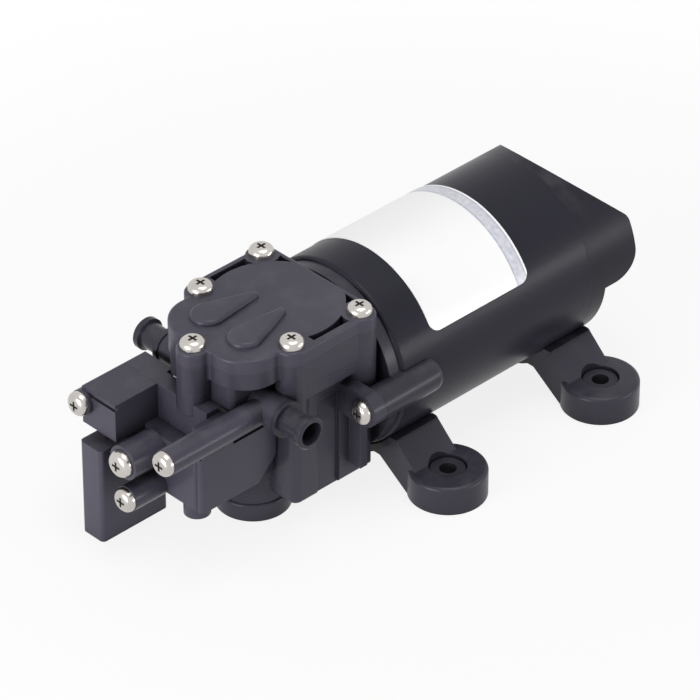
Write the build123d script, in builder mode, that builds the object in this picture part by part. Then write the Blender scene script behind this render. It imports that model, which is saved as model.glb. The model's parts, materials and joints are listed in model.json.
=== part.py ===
"""Caravan water pump: a small diaphragm pump on four feet, in millimetres.

The motor shaft runs along X and the pump head is at the -X end. Z points up.
The origin lies on the floor, at the centre of the four mounting holes.
"""

import os
from math import radians, sin

from build123d import *

os.makedirs("parts", exist_ok=True)

# Whole pump
axis_height = 32.0
foot_pitch_x = 55.8
foot_pitch_y = 64.0
motor_standoff = 19.6
overrun = 1.0
seat_gap = 0.1
running_gap = 0.05
body_gap = 0.3

# Motor shell
can_radius = 26.0
can_wall = 1.6
can_length = 67.6
can_lip_radius = 1.2
can_rear = 30.0
can_front = can_rear - can_length
can_bore = can_radius - can_wall
head_x = can_front - motor_standoff

# Shaft and rotor
shaft_radius = 2.5
shaft_front_reach = 4.0
throw = 1.2
crank_z = axis_height - throw

# Levels of the pump head
housing_drop = 24.5
deck_rise = 10.0
housing_bottom = axis_height - housing_drop
deck_height = axis_height + deck_rise
deck_thickness = 3.0
plate_height = 8.0
cover_height = 4.0
joint_height = deck_height + deck_thickness
plate_top = joint_height + plate_height
cover_top = plate_top + cover_height

# Outline of the pump head, seen from above, from the diaphragm's axis
head_half_width = 20.7
head_rear = 16.0
valve_x = -16.8
valve_y = 6.7
lobe_radius = 10.0
neck_front = -26.0
neck_half_width = 11.6
front_ear_x = -28.0
middle_ear_x = -10.2
rear_ear_y = 17.8
ear_radius = 4.2
notch_radius = 0.8
rear_ear = (head_rear - ear_radius, rear_ear_y)
middle_ear = (middle_ear_x, head_half_width - ear_radius)
side_ears = [(x, side * y) for side in (-1, 1) for x, y in (rear_ear, middle_ear)]
front_ear = [(front_ear_x, 0)]
ear_places = side_ears + front_ear

# Screws
screw_radius = 1.5
screw_head_radius = 3.3
screw_head_height = 2.3
cross_length = 2.8
cross_width = 0.7
cross_depth = 1.0
crown_share = 0.75


def pan_screw(shank_length, head_radius=screw_head_radius, head_height=screw_head_height):
    """A cross-head screw whose head stands on z = 0 and whose shank points down."""
    with BuildPart() as screw:
        with BuildSketch(Plane.XY):
            Circle(head_radius)
        extrude(amount=head_height)
        fillet(screw.edges().group_by(Axis.Z)[-1], head_height * crown_share)
        with BuildSketch(Plane.XY):
            Circle(screw_radius)
        extrude(amount=-shank_length)
        with BuildSketch(Plane.XY.offset(head_height)):
            Rectangle(cross_length, cross_width)
            Rectangle(cross_width, cross_length)
        extrude(amount=-cross_depth, mode=Mode.SUBTRACT)
    return screw.part


def facing_front(x, y, z):
    """A place for a screw whose head looks towards -X."""
    return Location((x, y, z), (0, -90, 0))


def across(x):
    """A sketch plane square to the shaft: its first axis is Y and its second is Z."""
    return Plane.YZ.offset(x)


def head_level(z):
    """A level sketch plane whose centre lies on the diaphragm's axis."""
    return Plane(origin=(head_x, 0, z))


def head_side(y):
    """An upright sketch plane square to Y: its first axis is X from the diaphragm's axis, its second is Z."""
    return Plane(origin=(head_x, y, 0), x_dir=(1, 0, 0), z_dir=(0, -1, 0))


# Motor can: a drawn steel tube
with BuildPart() as motor_can:
    with BuildSketch(across(can_front)):
        with Locations((0, axis_height)):
            Circle(can_radius)
            Circle(can_bore, mode=Mode.SUBTRACT)
    extrude(amount=can_length)
    rims = motor_can.edges().filter_by(GeomType.CIRCLE).group_by(Axis.X)[0]
    fillet(rims.sort_by(SortBy.RADIUS)[-1], can_lip_radius)
    with BuildSketch(Plane.XY.offset(axis_height - can_radius)):
        with Locations((-foot_pitch_x / 2, 0), (foot_pitch_x / 2, 0)):
            Circle(screw_radius + seat_gap)
    extrude(amount=2 * can_wall, mode=Mode.SUBTRACT)

motor_can.part.label = "motor_can"
export_step(motor_can.part, "parts/motor_can.step")

# Label: a white sheet round the upper half of the can
label_offset = 12.0
label_length = 34.9
label_lowest_angle = 25.7
label_thickness = 0.2
label_corner_radius = 3.0
label_stand_off = 0.03
label_front = can_front + label_offset
label_inner = can_radius + label_stand_off
label_outer = label_inner + label_thickness

with BuildPart() as motor_label:
    with BuildSketch(across(label_front)):
        with BuildLine():
            inner_arc = CenterArc((0, axis_height), label_inner, label_lowest_angle, 180 - 2 * label_lowest_angle)
            outer_arc = CenterArc((0, axis_height), label_outer, label_lowest_angle, 180 - 2 * label_lowest_angle)
            Line(inner_arc @ 0, outer_arc @ 0)
            Line(inner_arc @ 1, outer_arc @ 1)
        make_face()
    extrude(amount=label_length)
    corners = motor_label.edges().filter_by(GeomType.LINE).filter_by(lambda e: e.length < 2 * label_thickness)
    fillet(corners, label_corner_radius)

motor_label.part.label = "motor_label"
export_step(motor_label.part, "parts/motor_label.step")

# Front flange: closes the can, holds the front bush and carries the two screw sleeves
flange_thickness = 3.5
flange_radius = 25.0
spigot_depth = 3.0
spigot_wall = 3.0
sleeve_reach = 26.0
sleeve_rise = 2.0
sleeve_height = axis_height + sleeve_rise
sleeve_radius = 4.5
sleeve_front_offset = 9.0
sleeve_end_offset = 30.6
sleeve_end_radius = 3.2
ear_plate_offset = 5.1
bush_radius = 6.0
flange_front = can_front - flange_thickness
sleeve_front = head_x + sleeve_front_offset
sleeve_end = head_x + sleeve_end_offset
motor_screw_bore_end = can_front - seat_gap

with BuildPart() as motor_front_flange:
    with BuildSketch(across(sleeve_front)):
        with Locations((-sleeve_reach, sleeve_height), (sleeve_reach, sleeve_height)):
            Circle(sleeve_radius)
    extrude(amount=sleeve_end - sleeve_front)
    fillet(motor_front_flange.edges().group_by(Axis.X)[-1], sleeve_end_radius)
    with BuildSketch(across(can_front)):
        with Locations((0, axis_height)):
            Circle(can_radius + seat_gap)
    extrude(amount=sleeve_end - can_front + overrun, mode=Mode.SUBTRACT)
    with BuildSketch(across(flange_front)):
        with Locations((0, axis_height)):
            Circle(flange_radius)
        with Locations((0, sleeve_height)):
            Rectangle(2 * sleeve_reach, 2 * sleeve_radius)
    extrude(amount=flange_thickness)
    with BuildSketch(across(can_front)):
        with Locations((0, axis_height)):
            Circle(can_bore - seat_gap)
            Circle(can_bore - seat_gap - spigot_wall, mode=Mode.SUBTRACT)
            Circle(bush_radius + spigot_wall)
    extrude(amount=spigot_depth)
    with BuildSketch(across(flange_front)):
        with Locations((0, axis_height)):
            Circle(bush_radius + seat_gap)
    extrude(amount=flange_thickness + spigot_depth, mode=Mode.SUBTRACT)
    with BuildSketch(across(sleeve_front)):
        with Locations((-sleeve_reach, sleeve_height), (sleeve_reach, sleeve_height)):
            Circle(screw_radius + seat_gap)
    extrude(amount=motor_screw_bore_end - sleeve_front, mode=Mode.SUBTRACT)

motor_front_flange.part.label = "motor_front_flange"
export_step(motor_front_flange.part, "parts/motor_front_flange.step")

# Bushes: sintered bronze sleeves that the shaft turns in
rear_bush_length = 5.0
cap_plate_thickness = 5.4
cap_plate_rear = can_rear + cap_plate_thickness
rear_bush_front = can_rear

with BuildPart() as front_bush:
    with BuildSketch(across(flange_front)):
        with Locations((0, axis_height)):
            Circle(bush_radius)
            Circle(shaft_radius + running_gap, mode=Mode.SUBTRACT)
    extrude(amount=flange_thickness + spigot_depth)

front_bush.part.label = "front_bush"
export_step(front_bush.part, "parts/front_bush.step")

with BuildPart() as rear_bush:
    with BuildSketch(across(rear_bush_front)):
        with Locations((0, axis_height)):
            Circle(bush_radius)
            Circle(shaft_radius + running_gap, mode=Mode.SUBTRACT)
    extrude(amount=rear_bush_length)

rear_bush.part.label = "rear_bush"
export_step(rear_bush.part, "parts/rear_bush.step")

# Rear cap: a moulded end whose upper half runs on as a hood with a sloping top
hood_reach = 11.3
slope_offset = 2.6
slope_low_rise = 13.0
hood_low_drop = 2.7
hood_rear = cap_plate_rear + hood_reach
slope_start = can_rear + slope_offset
slope_low = axis_height + slope_low_rise
hood_low = axis_height - hood_low_drop
hood_wall = 2.4
hood_top_corner = 3.0
hood_low_corner = 7.5
top_height = axis_height + can_radius
hood_outline = [
    (can_rear, top_height + overrun),
    (slope_start - overrun, top_height + overrun),
    (hood_rear, slope_low),
    (hood_rear, hood_low),
    (cap_plate_rear, hood_low),
    (cap_plate_rear, axis_height - can_radius - overrun),
    (can_rear, axis_height - can_radius - overrun),
]
grommet_radius = 3.2
grommet_drop = 16.0
grommet_z = axis_height - grommet_drop
lead_hole_radius = 1.1
lead_pitch = 3.0

with BuildPart() as hood_pocket:
    with BuildSketch(across(cap_plate_rear)):
        with Locations((0, axis_height)):
            Circle(can_radius - hood_wall)
    extrude(amount=hood_rear - cap_plate_rear)
    with BuildSketch(Plane.XZ):
        with BuildLine():
            Polyline(
                (cap_plate_rear, hood_low - overrun),
                (cap_plate_rear, top_height - 2 * hood_wall),
                (hood_rear - hood_wall, slope_low - hood_wall),
                (hood_rear - hood_wall, hood_low - overrun),
                close=True,
            )
        make_face()
    extrude(amount=can_radius, both=True, mode=Mode.INTERSECT)

with BuildPart() as motor_rear_cap:
    with BuildSketch(across(can_rear)):
        with Locations((0, axis_height)):
            Circle(can_radius)
    extrude(amount=hood_rear - can_rear)
    with BuildSketch(Plane.XZ):
        with BuildLine():
            FilletPolyline(
                *hood_outline,
                radius=[0, 0, hood_top_corner, hood_low_corner, 0, 0, 0],
                close=True,
            )
        make_face()
    extrude(amount=can_radius + overrun, both=True, mode=Mode.INTERSECT)
    add(hood_pocket.part, mode=Mode.SUBTRACT)
    with BuildSketch(across(can_rear)):
        with Locations((0, axis_height)):
            Circle(bush_radius + seat_gap)
    extrude(amount=rear_bush_length + seat_gap, mode=Mode.SUBTRACT)
    with BuildSketch(across(can_rear)):
        with Locations((0, grommet_z)):
            Circle(grommet_radius + seat_gap)
    extrude(amount=cap_plate_rear - can_rear, mode=Mode.SUBTRACT)

motor_rear_cap.part.label = "motor_rear_cap"
export_step(motor_rear_cap.part, "parts/motor_rear_cap.step")

# Lead grommet: a rubber plug with two holes, where the motor leads come out below the hood
grommet_lip = 0.8
grommet_lip_radius = 4.2

with BuildPart() as lead_grommet:
    with BuildSketch(across(can_rear)):
        with Locations((0, grommet_z)):
            Circle(grommet_radius)
    extrude(amount=cap_plate_rear - can_rear)
    with BuildSketch(across(cap_plate_rear)):
        with Locations((0, grommet_z)):
            Circle(grommet_lip_radius)
    extrude(amount=grommet_lip)
    with BuildSketch(across(can_rear)):
        with Locations((0, grommet_z)):
            with GridLocations(lead_pitch, 0, 2, 1):
                Circle(lead_hole_radius)
    extrude(amount=cap_plate_rear - can_rear + grommet_lip, mode=Mode.SUBTRACT)

lead_grommet.part.label = "lead_grommet"
export_step(lead_grommet.part, "parts/lead_grommet.step")

# Field magnets: two arcs against the can
magnet_thickness = 5.0
magnet_half_angle = 62.0
core_offset = 15.6
core_length = 34.0
magnet_overhang = 2.0
air_gap = 0.7
core_front = can_front + core_offset
magnet_outer = can_bore - seat_gap
magnet_inner = magnet_outer - magnet_thickness

with BuildPart() as field_magnets:
    with BuildSketch(across(core_front - magnet_overhang)):
        for middle in (0, 180):
            with BuildLine():
                outer_side = CenterArc(
                    (0, axis_height), magnet_outer, middle - magnet_half_angle, 2 * magnet_half_angle
                )
                inner_side = CenterArc(
                    (0, axis_height), magnet_inner, middle - magnet_half_angle, 2 * magnet_half_angle
                )
                Line(inner_side @ 0, outer_side @ 0)
                Line(inner_side @ 1, outer_side @ 1)
            make_face()
    extrude(amount=core_length + 2 * magnet_overhang)

field_magnets.part.label = "field_magnets"
export_step(field_magnets.part, "parts/field_magnets.step")

# Armature core: stacked laminations with slots
core_radius = magnet_inner - air_gap
slot_count = 10
slot_depth = 8.0
slot_width = 2.6

with BuildPart() as armature_core:
    with BuildSketch(across(core_front)):
        with Locations((0, axis_height)):
            Circle(core_radius)
            Circle(shaft_radius + running_gap, mode=Mode.SUBTRACT)
            with PolarLocations(core_radius - slot_depth / 2, slot_count):
                Rectangle(slot_depth + overrun, slot_width, mode=Mode.SUBTRACT)
    extrude(amount=core_length)

armature_core.part.label = "armature_core"
export_step(armature_core.part, "parts/armature_core.step")

# Armature windings: the copper bundles at both ends of the core
winding_reach = 6.0
winding_ring = 13.5
winding_lump = 3.4
winding_bore = 9.4

with BuildPart() as armature_windings:
    for start in (core_front - winding_reach, core_front + core_length):
        with BuildSketch(across(start)):
            with Locations((0, axis_height)):
                Circle(winding_ring + winding_lump / 2)
                with PolarLocations(winding_ring, slot_count):
                    Circle(winding_lump)
                Circle(winding_bore, mode=Mode.SUBTRACT)
        extrude(amount=winding_reach)

armature_windings.part.label = "armature_windings"
export_step(armature_windings.part, "parts/armature_windings.step")

# Commutator: copper bars round the shaft behind the core
commutator_radius = 9.0
commutator_offset = 1.5
commutator_length = 8.0
bar_gap = 0.5
bar_gap_depth = 0.8
commutator_front = core_front + core_length + winding_reach + commutator_offset

with BuildPart() as commutator:
    with BuildSketch(across(commutator_front)):
        with Locations((0, axis_height)):
            Circle(commutator_radius)
            Circle(shaft_radius + running_gap, mode=Mode.SUBTRACT)
            with PolarLocations(commutator_radius, slot_count):
                Rectangle(2 * bar_gap_depth, bar_gap, mode=Mode.SUBTRACT)
    extrude(amount=commutator_length)

commutator.part.label = "commutator"
export_step(commutator.part, "parts/commutator.step")

# Motor shaft
with BuildPart() as motor_shaft:
    shaft_front = head_x - shaft_front_reach
    with BuildSketch(across(shaft_front)):
        with Locations((0, axis_height)):
            Circle(shaft_radius)
    extrude(amount=can_rear + rear_bush_length - shaft_front)

motor_shaft.part.label = "motor_shaft"
export_step(motor_shaft.part, "parts/motor_shaft.step")

# Brush gear: a plate inside the can's rear end, two holders, two carbon brushes and their springs
brush_plate_thickness = 1.5
brush_width = 5.0
brush_height = 4.0
brush_length = 7.0
holder_wall = 0.8
holder_start = 11.0
holder_end = 23.2
brush_spring_wire = 0.35
brush_plate_front = can_rear - brush_plate_thickness
brush_x = commutator_front + commutator_length / 2
brush_start = commutator_radius + running_gap

with BuildPart() as brush_plate:
    with BuildSketch(across(brush_plate_front)):
        with Locations((0, axis_height)):
            Circle(can_bore - seat_gap)
            Circle(commutator_radius + overrun, mode=Mode.SUBTRACT)
    extrude(amount=brush_plate_thickness)

brush_plate.part.label = "brush_plate"
export_step(brush_plate.part, "parts/brush_plate.step")

with BuildPart() as brush_holders:
    for side in (-1, 1):
        with BuildSketch(Plane.XZ.offset(-side * holder_start)):
            with Locations((brush_x, axis_height)):
                Rectangle(brush_width + 2 * holder_wall + 2 * seat_gap, brush_height + 2 * holder_wall + 2 * seat_gap)
                Rectangle(brush_width + 2 * seat_gap, brush_height + 2 * seat_gap, mode=Mode.SUBTRACT)
        extrude(amount=-side * (holder_end - holder_start))
        with BuildSketch(Plane.XZ.offset(-side * (holder_end - holder_wall))):
            with Locations((brush_x, axis_height)):
                Rectangle(brush_width + 2 * seat_gap, brush_height + 2 * seat_gap)
        extrude(amount=-side * holder_wall)

brush_holders.part.label = "brush_holders"
export_step(brush_holders.part, "parts/brush_holders.step")

with BuildPart() as brushes:
    for side in (-1, 1):
        with BuildSketch(Plane.XZ.offset(-side * brush_start)):
            with Locations((brush_x, axis_height)):
                Rectangle(brush_width, brush_height)
        extrude(amount=-side * brush_length)

brushes.part.label = "brushes"
export_step(brushes.part, "parts/brushes.step")

spring_turns = 5
brush_spring_radius = 1.4
brush_spring_room = holder_end - holder_wall - brush_start - brush_length - 2 * seat_gap


def coil_spring(length, turns, radius, wire):
    """A coil along Z that starts half a wire above z = 0 and ends half a wire below its length."""
    height = length - 2 * wire
    with BuildPart() as coil:
        with BuildLine(Plane.XY.offset(wire)) as path:
            Helix(height / turns, height, radius)
        with BuildSketch(Plane(origin=path.line @ 0, z_dir=path.line % 0)):
            Circle(wire)
        sweep()
    return coil.part


with BuildPart() as brush_springs:
    for side in (-1, 1):
        place = Location(
            (brush_x, side * (brush_start + brush_length + seat_gap), axis_height), (-side * 90, 0, 0)
        )
        with Locations(place):
            add(coil_spring(brush_spring_room, spring_turns, brush_spring_radius, brush_spring_wire))

brush_springs.part.label = "brush_springs"
export_step(brush_springs.part, "parts/brush_springs.step")

# Saddles: each hugs the can from below and ends in two drilled feet
saddle_wall = 2.0
wrap_front_reach = 9.3
wrap_rear_reach = 5.5
saddle_top_angle = 39.0
arm_front_reach = 8.3
arm_rear_reach = 6.5
arm_top_y = 21.2
arm_top_drop = 17.15
arm_top_z = axis_height - arm_top_drop
arm_foot_y = 28.5
arm_under_y = 15.8
arm_under_z = 7.0
arm_heel_y = 25.9
foot_radius = 10.4
foot_thickness = 8.0
foot_bore = 3.4
foot_recess_radius = 5.0
foot_recess_depth = 1.8
foot_edge_radius = 1.2
saddle_bore = can_radius + seat_gap
foot_y = foot_pitch_y / 2

for saddle_name, foot_x in (("front_saddle", -foot_pitch_x / 2), ("rear_saddle", foot_pitch_x / 2)):
    with BuildPart() as saddle:
        with BuildSketch(across(foot_x - wrap_front_reach)):
            with Locations((0, axis_height)):
                Circle(saddle_bore + saddle_wall)
            cut_height = axis_height - saddle_bore * sin(radians(saddle_top_angle))
            with Locations((0, cut_height)):
                Rectangle(
                    4 * can_radius, 4 * can_radius, align=(Align.CENTER, Align.MIN), mode=Mode.SUBTRACT
                )
        extrude(amount=wrap_front_reach + wrap_rear_reach)
        with BuildSketch(across(foot_x - arm_front_reach)):
            for side in (-1, 1):
                with BuildLine():
                    Polyline(
                        (0, arm_top_z),
                        (side * arm_top_y, arm_top_z),
                        (side * arm_foot_y, foot_thickness),
                        (side * foot_y, foot_thickness),
                        (side * foot_y, 0),
                        (side * arm_heel_y, 0),
                        (side * arm_under_y, arm_under_z),
                        (0, arm_under_z),
                        close=True,
                    )
                make_face()
        extrude(amount=arm_front_reach + arm_rear_reach)
        with BuildSketch(Plane.XY):
            with Locations((foot_x, -foot_y), (foot_x, foot_y)):
                Circle(foot_radius)
            with Locations((foot_x, 0)):
                Rectangle(2 * foot_radius, 2 * arm_heel_y, mode=Mode.SUBTRACT)
        extrude(amount=foot_thickness)
        with BuildSketch(across(foot_x - wrap_front_reach - overrun)):
            with Locations((0, axis_height)):
                Circle(saddle_bore)
        extrude(amount=wrap_front_reach + wrap_rear_reach + 2 * overrun, mode=Mode.SUBTRACT)
        top_rims = saddle.edges().filter_by(GeomType.CIRCLE).filter_by_position(
            Axis.Z, foot_thickness - seat_gap, foot_thickness + seat_gap
        )
        fillet(top_rims, foot_edge_radius)
        with Locations((foot_x, -foot_y, foot_thickness), (foot_x, foot_y, foot_thickness)):
            CounterBoreHole(foot_bore, foot_recess_radius, foot_recess_depth)
        with BuildSketch(Plane.XY):
            with Locations((foot_x, 0)):
                Circle(screw_radius + seat_gap)
        extrude(amount=axis_height - can_bore, mode=Mode.SUBTRACT)
    saddle.part.label = saddle_name
    export_step(saddle.part, f"parts/{saddle_name}.step")

# Foot grommets: rubber rings in the feet, with the holes that the mounting screws go through
foot_hole_radius = 2.3
grommet_top = foot_thickness - foot_recess_depth
grommet_flange = 1.0
grommet_flange_radius = 4.6

with BuildPart() as foot_grommets:
    with BuildSketch(Plane.XY):
        with GridLocations(foot_pitch_x, foot_pitch_y, 2, 2):
            Circle(foot_bore - seat_gap)
    extrude(amount=grommet_top)
    with BuildSketch(Plane.XY.offset(grommet_top)):
        with GridLocations(foot_pitch_x, foot_pitch_y, 2, 2):
            Circle(grommet_flange_radius)
    extrude(amount=grommet_flange)
    with BuildSketch(Plane.XY):
        with GridLocations(foot_pitch_x, foot_pitch_y, 2, 2):
            Circle(foot_hole_radius)
    extrude(amount=grommet_top + grommet_flange, mode=Mode.SUBTRACT)

foot_grommets.part.label = "foot_grommets"
export_step(foot_grommets.part, "parts/foot_grommets.step")

# Saddle screws: from below, through the saddles into the can
saddle_screw_head_height = 2.0
saddle_screw_length = saddle_wall + seat_gap + can_wall
saddle_underside = axis_height - saddle_bore - saddle_wall
low_screw = pan_screw(saddle_screw_length, head_height=saddle_screw_head_height)

with BuildPart() as saddle_screws:
    for foot_x in (-foot_pitch_x / 2, foot_pitch_x / 2):
        with Locations(Location((foot_x, 0, saddle_underside), (180, 0, 0))):
            add(low_screw)

saddle_screws.part.label = "saddle_screws"
export_step(saddle_screws.part, "parts/saddle_screws.step")

# Outlines of the head: the deck with the neck below the valves, and the wider lobes above it
with BuildSketch() as deck_outline:
    with Locations((middle_ear_x, 0)):
        Rectangle(head_rear - middle_ear_x, 2 * rear_ear_y, align=(Align.MIN, Align.CENTER))
        Rectangle(rear_ear[0] - middle_ear_x, 2 * head_half_width, align=(Align.MIN, Align.CENTER))
    with Locations((neck_front, 0)):
        Rectangle(middle_ear_x - neck_front, 2 * neck_half_width, align=(Align.MIN, Align.CENTER))
    with Locations((front_ear_x, 0)):
        Rectangle(-front_ear_x, 2 * ear_radius, align=(Align.MIN, Align.CENTER))
    with Locations(*ear_places):
        Circle(ear_radius)
    neck_corners = deck_outline.vertices().filter_by_position(
        Axis.X, neck_front - notch_radius, neck_front + notch_radius
    )
    fillet(neck_corners.filter_by(lambda v: abs(v.Y) > 2 * ear_radius), 2 * notch_radius)

with BuildSketch() as lobe_outline:
    with Locations((middle_ear_x, 0)):
        Rectangle(head_rear - middle_ear_x, 2 * rear_ear_y, align=(Align.MIN, Align.CENTER))
        Rectangle(rear_ear[0] - middle_ear_x, 2 * head_half_width, align=(Align.MIN, Align.CENTER))
    with Locations((valve_x, -valve_y), (valve_x, valve_y)):
        Circle(lobe_radius)
    with Locations((front_ear_x, 0)):
        Rectangle(-front_ear_x, 2 * ear_radius, align=(Align.MIN, Align.CENTER))
    with Locations(*ear_places):
        Circle(ear_radius)
    fillet(
        lobe_outline.vertices().filter_by_position(Axis.X, valve_x - lobe_radius, valve_x + ear_radius),
        notch_radius,
    )

# Ports: two bosses across the neck, one above each end of the valve row
port_drop = 1.6
port_height = deck_height - port_drop
port_block_half_width = 6.5
port_shoulder_radius = 6.2
port_boss_radius = 4.5
port_boss_end = 20.9
port_bore_radius = 3.5
port_bore_end = 9.9
port_passage_radius = 2.0
valve_channel_radius = 3.0
port_block_depth = 10.0
port_block_bottom = deck_height - port_block_depth

# Pump housing: crankcase, deck, port block and the bosses that the screws go into
case_front = -10.4
case_half_width = 17.5
case_corner_radius = 2.5
case_lower_edge = 1.2
crank_bore_radius = 13.9
crank_front = -7.5
deck_opening_radius = 12.2
foot_boss_x = -8.4
foot_boss_radius = 9.4
foot_boss_bottom = 9.0
foot_boss_top = 15.4
base_radius = 9.9
base_stud_radius = 3.0
base_stud_height = 4.0
side_boss_length = 7.0
front_boss_length = 3.4
screw_boss_bottom = deck_height - side_boss_length
front_boss_bottom = deck_height - front_boss_length
pocket_front = -2.5
pocket_rear = 5.1
pocket_drop = 6.0
pocket_high = deck_height - pocket_drop
pocket_depth = 1.0
ear_plate_thickness = sleeve_front_offset - ear_plate_offset
rib_offset = 8.6
rib_thickness = 2.4
rib_foot = 12.0
rib_reach = 21.5
tube_radius = 3.5
tube_y = -14.4
tube_z = port_height
lug_front = -24.5
lug_rear = -14.5
lug_end_radius = 2.6
lug_hole_depth = 3.0
low_screw_y = 4.4
box_height = 16.5
low_screw_rise = 2.0
box_bottom = port_block_bottom - box_height
low_screw_z = box_bottom + low_screw_rise
side_screw_depth = 11.5
front_screw_depth = 5.8
deck_screw_reach = joint_height - side_screw_depth
front_screw_reach = joint_height - front_screw_depth
pressure_hole_x = -19.5
pressure_hole_y = -3.0
pressure_hole_radius = 0.9
case_rear = flange_front
ear_plate_front = head_x + ear_plate_offset
screw_hole = screw_radius + seat_gap

with BuildPart() as tube_lug:
    with BuildSketch(across(head_x + lug_front)):
        with Locations((tube_y, tube_z)):
            Circle(tube_radius)
    extrude(amount=lug_rear - lug_front)
    fillet(tube_lug.edges().group_by(Axis.X)[-1], lug_end_radius)

with BuildPart() as pump_housing:
    case_length = case_rear - head_x - case_front
    with BuildSketch(head_level(housing_bottom)):
        with Locations((case_front, 0)):
            Rectangle(case_length, 2 * case_half_width, align=(Align.MIN, Align.CENTER))
    extrude(amount=deck_height - housing_bottom)
    fillet(pump_housing.edges().filter_by(Axis.Z).group_by(Axis.X)[0], case_corner_radius)
    fillet(pump_housing.edges().group_by(Axis.Z)[0].sort_by(Axis.X)[:-1], case_lower_edge)
    for side in (-1, 1):
        with BuildSketch(head_side(side * case_half_width)):
            with Locations((pocket_front, housing_bottom)):
                Rectangle(
                    pocket_rear - pocket_front, pocket_high - housing_bottom, align=(Align.MIN, Align.MIN)
                )
        extrude(amount=side * pocket_depth, mode=Mode.SUBTRACT)
        with BuildSketch(head_side(0)):
            with Locations((rib_offset, rib_foot)):
                Rectangle(rib_thickness, sleeve_height - rib_foot, align=(Align.MIN, Align.MIN))
        extrude(amount=-side * rib_reach)
    with BuildSketch(head_level(foot_boss_bottom)):
        with Locations((foot_boss_x, 0)):
            Circle(foot_boss_radius)
    extrude(amount=foot_boss_top - foot_boss_bottom)
    with BuildSketch(head_level(port_block_bottom)):
        with Locations((neck_front, 0)):
            Rectangle(case_front - neck_front, 2 * port_block_half_width, align=(Align.MIN, Align.CENTER))
    extrude(amount=deck_height - port_block_bottom)
    with BuildSketch(head_side(neck_half_width)):
        with Locations((valve_x, port_height)):
            Circle(port_shoulder_radius)
    extrude(amount=2 * neck_half_width)
    with BuildSketch(head_side(port_boss_end)):
        with Locations((valve_x, port_height)):
            Circle(port_boss_radius)
    extrude(amount=2 * port_boss_end)
    add(tube_lug.part)
    with BuildSketch(head_level(deck_height)):
        add(deck_outline.sketch)
    extrude(amount=joint_height - deck_height)
    with BuildSketch(head_level(joint_height)):
        with Locations((valve_x, 0)):
            Rectangle(2 * lobe_radius, 2 * neck_half_width)
    extrude(amount=port_shoulder_radius, mode=Mode.SUBTRACT)
    with BuildSketch(head_level(screw_boss_bottom)):
        with Locations(*side_ears):
            Circle(ear_radius)
    extrude(amount=deck_height - screw_boss_bottom)
    with BuildSketch(head_level(front_boss_bottom)):
        with Locations((front_ear_x, 0)):
            Circle(ear_radius)
            Rectangle(-front_ear_x + case_front, 2 * ear_radius, align=(Align.MIN, Align.CENTER))
    extrude(amount=deck_height - front_boss_bottom)
    with BuildSketch(across(ear_plate_front)):
        with Locations((0, sleeve_height)):
            SlotCenterToCenter(2 * sleeve_reach, 2 * sleeve_radius)
    extrude(amount=ear_plate_thickness)
    with BuildSketch(across(head_x + crank_front)):
        with Locations((0, axis_height)):
            Circle(crank_bore_radius)
        with Locations((0, deck_height)):
            Rectangle(
                2 * crank_bore_radius,
                2 * crank_bore_radius,
                align=(Align.CENTER, Align.MIN),
                mode=Mode.SUBTRACT,
            )
    extrude(amount=case_rear - head_x - crank_front, mode=Mode.SUBTRACT)
    with BuildSketch(head_level(deck_height - overrun)):
        Circle(deck_opening_radius)
    extrude(amount=joint_height - deck_height + overrun, mode=Mode.SUBTRACT)
    with BuildSketch(across(sleeve_front)):
        with Locations((-sleeve_reach, sleeve_height), (sleeve_reach, sleeve_height)):
            Circle(sleeve_radius + seat_gap)
    extrude(amount=case_rear - sleeve_front, mode=Mode.SUBTRACT)
    for side in (-1, 1):
        with BuildSketch(head_side(side * port_bore_end)):
            with Locations((valve_x, port_height)):
                Circle(port_bore_radius)
        extrude(amount=-side * (port_boss_end - port_bore_end), mode=Mode.SUBTRACT)
        with BuildSketch(head_side(side * valve_y)):
            with Locations((valve_x, port_height)):
                Circle(port_passage_radius)
        extrude(amount=-side * (port_bore_end - valve_y), mode=Mode.SUBTRACT)
    with BuildSketch(head_level(port_height)):
        with Locations((valve_x, -valve_y), (valve_x, valve_y)):
            Circle(valve_channel_radius)
    extrude(amount=joint_height - port_height, mode=Mode.SUBTRACT)
    with BuildSketch(head_level(port_height)):
        with Locations((pressure_hole_x, pressure_hole_y)):
            Circle(pressure_hole_radius)
    extrude(amount=port_block_bottom - port_height, mode=Mode.SUBTRACT)
    with BuildSketch(head_side(-valve_y)):
        with Locations((pressure_hole_x, port_height)):
            Circle(pressure_hole_radius)
    extrude(amount=-valve_y - pressure_hole_y, mode=Mode.SUBTRACT)
    for places, reach in ((side_ears, deck_screw_reach), (front_ear, front_screw_reach)):
        with BuildSketch(head_level(reach)):
            with Locations(*places):
                Circle(screw_hole)
        extrude(amount=joint_height - reach, mode=Mode.SUBTRACT)
    with BuildSketch(across(ear_plate_front)):
        with Locations((-sleeve_reach, sleeve_height), (sleeve_reach, sleeve_height)):
            Circle(screw_hole)
    extrude(amount=ear_plate_thickness, mode=Mode.SUBTRACT)
    with BuildSketch(across(head_x + lug_front)):
        with Locations((tube_y, tube_z)):
            Circle(screw_hole)
    extrude(amount=lug_hole_depth, mode=Mode.SUBTRACT)
    with BuildSketch(across(head_x + case_front)):
        with Locations((low_screw_y, low_screw_z)):
            Circle(screw_hole)
    extrude(amount=crank_front - case_front, mode=Mode.SUBTRACT)
    with BuildSketch(head_level(housing_bottom)):
        with Locations((foot_boss_x, 0)):
            Circle(base_radius + seat_gap)
    extrude(amount=foot_boss_bottom - housing_bottom, mode=Mode.SUBTRACT)
    with BuildSketch(head_level(foot_boss_bottom)):
        with Locations((foot_boss_x, 0)):
            Circle(base_stud_radius + seat_gap)
    extrude(amount=base_stud_height, mode=Mode.SUBTRACT)

pump_housing.part.label = "pump_housing"
export_step(pump_housing.part, "parts/pump_housing.step")

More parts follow.
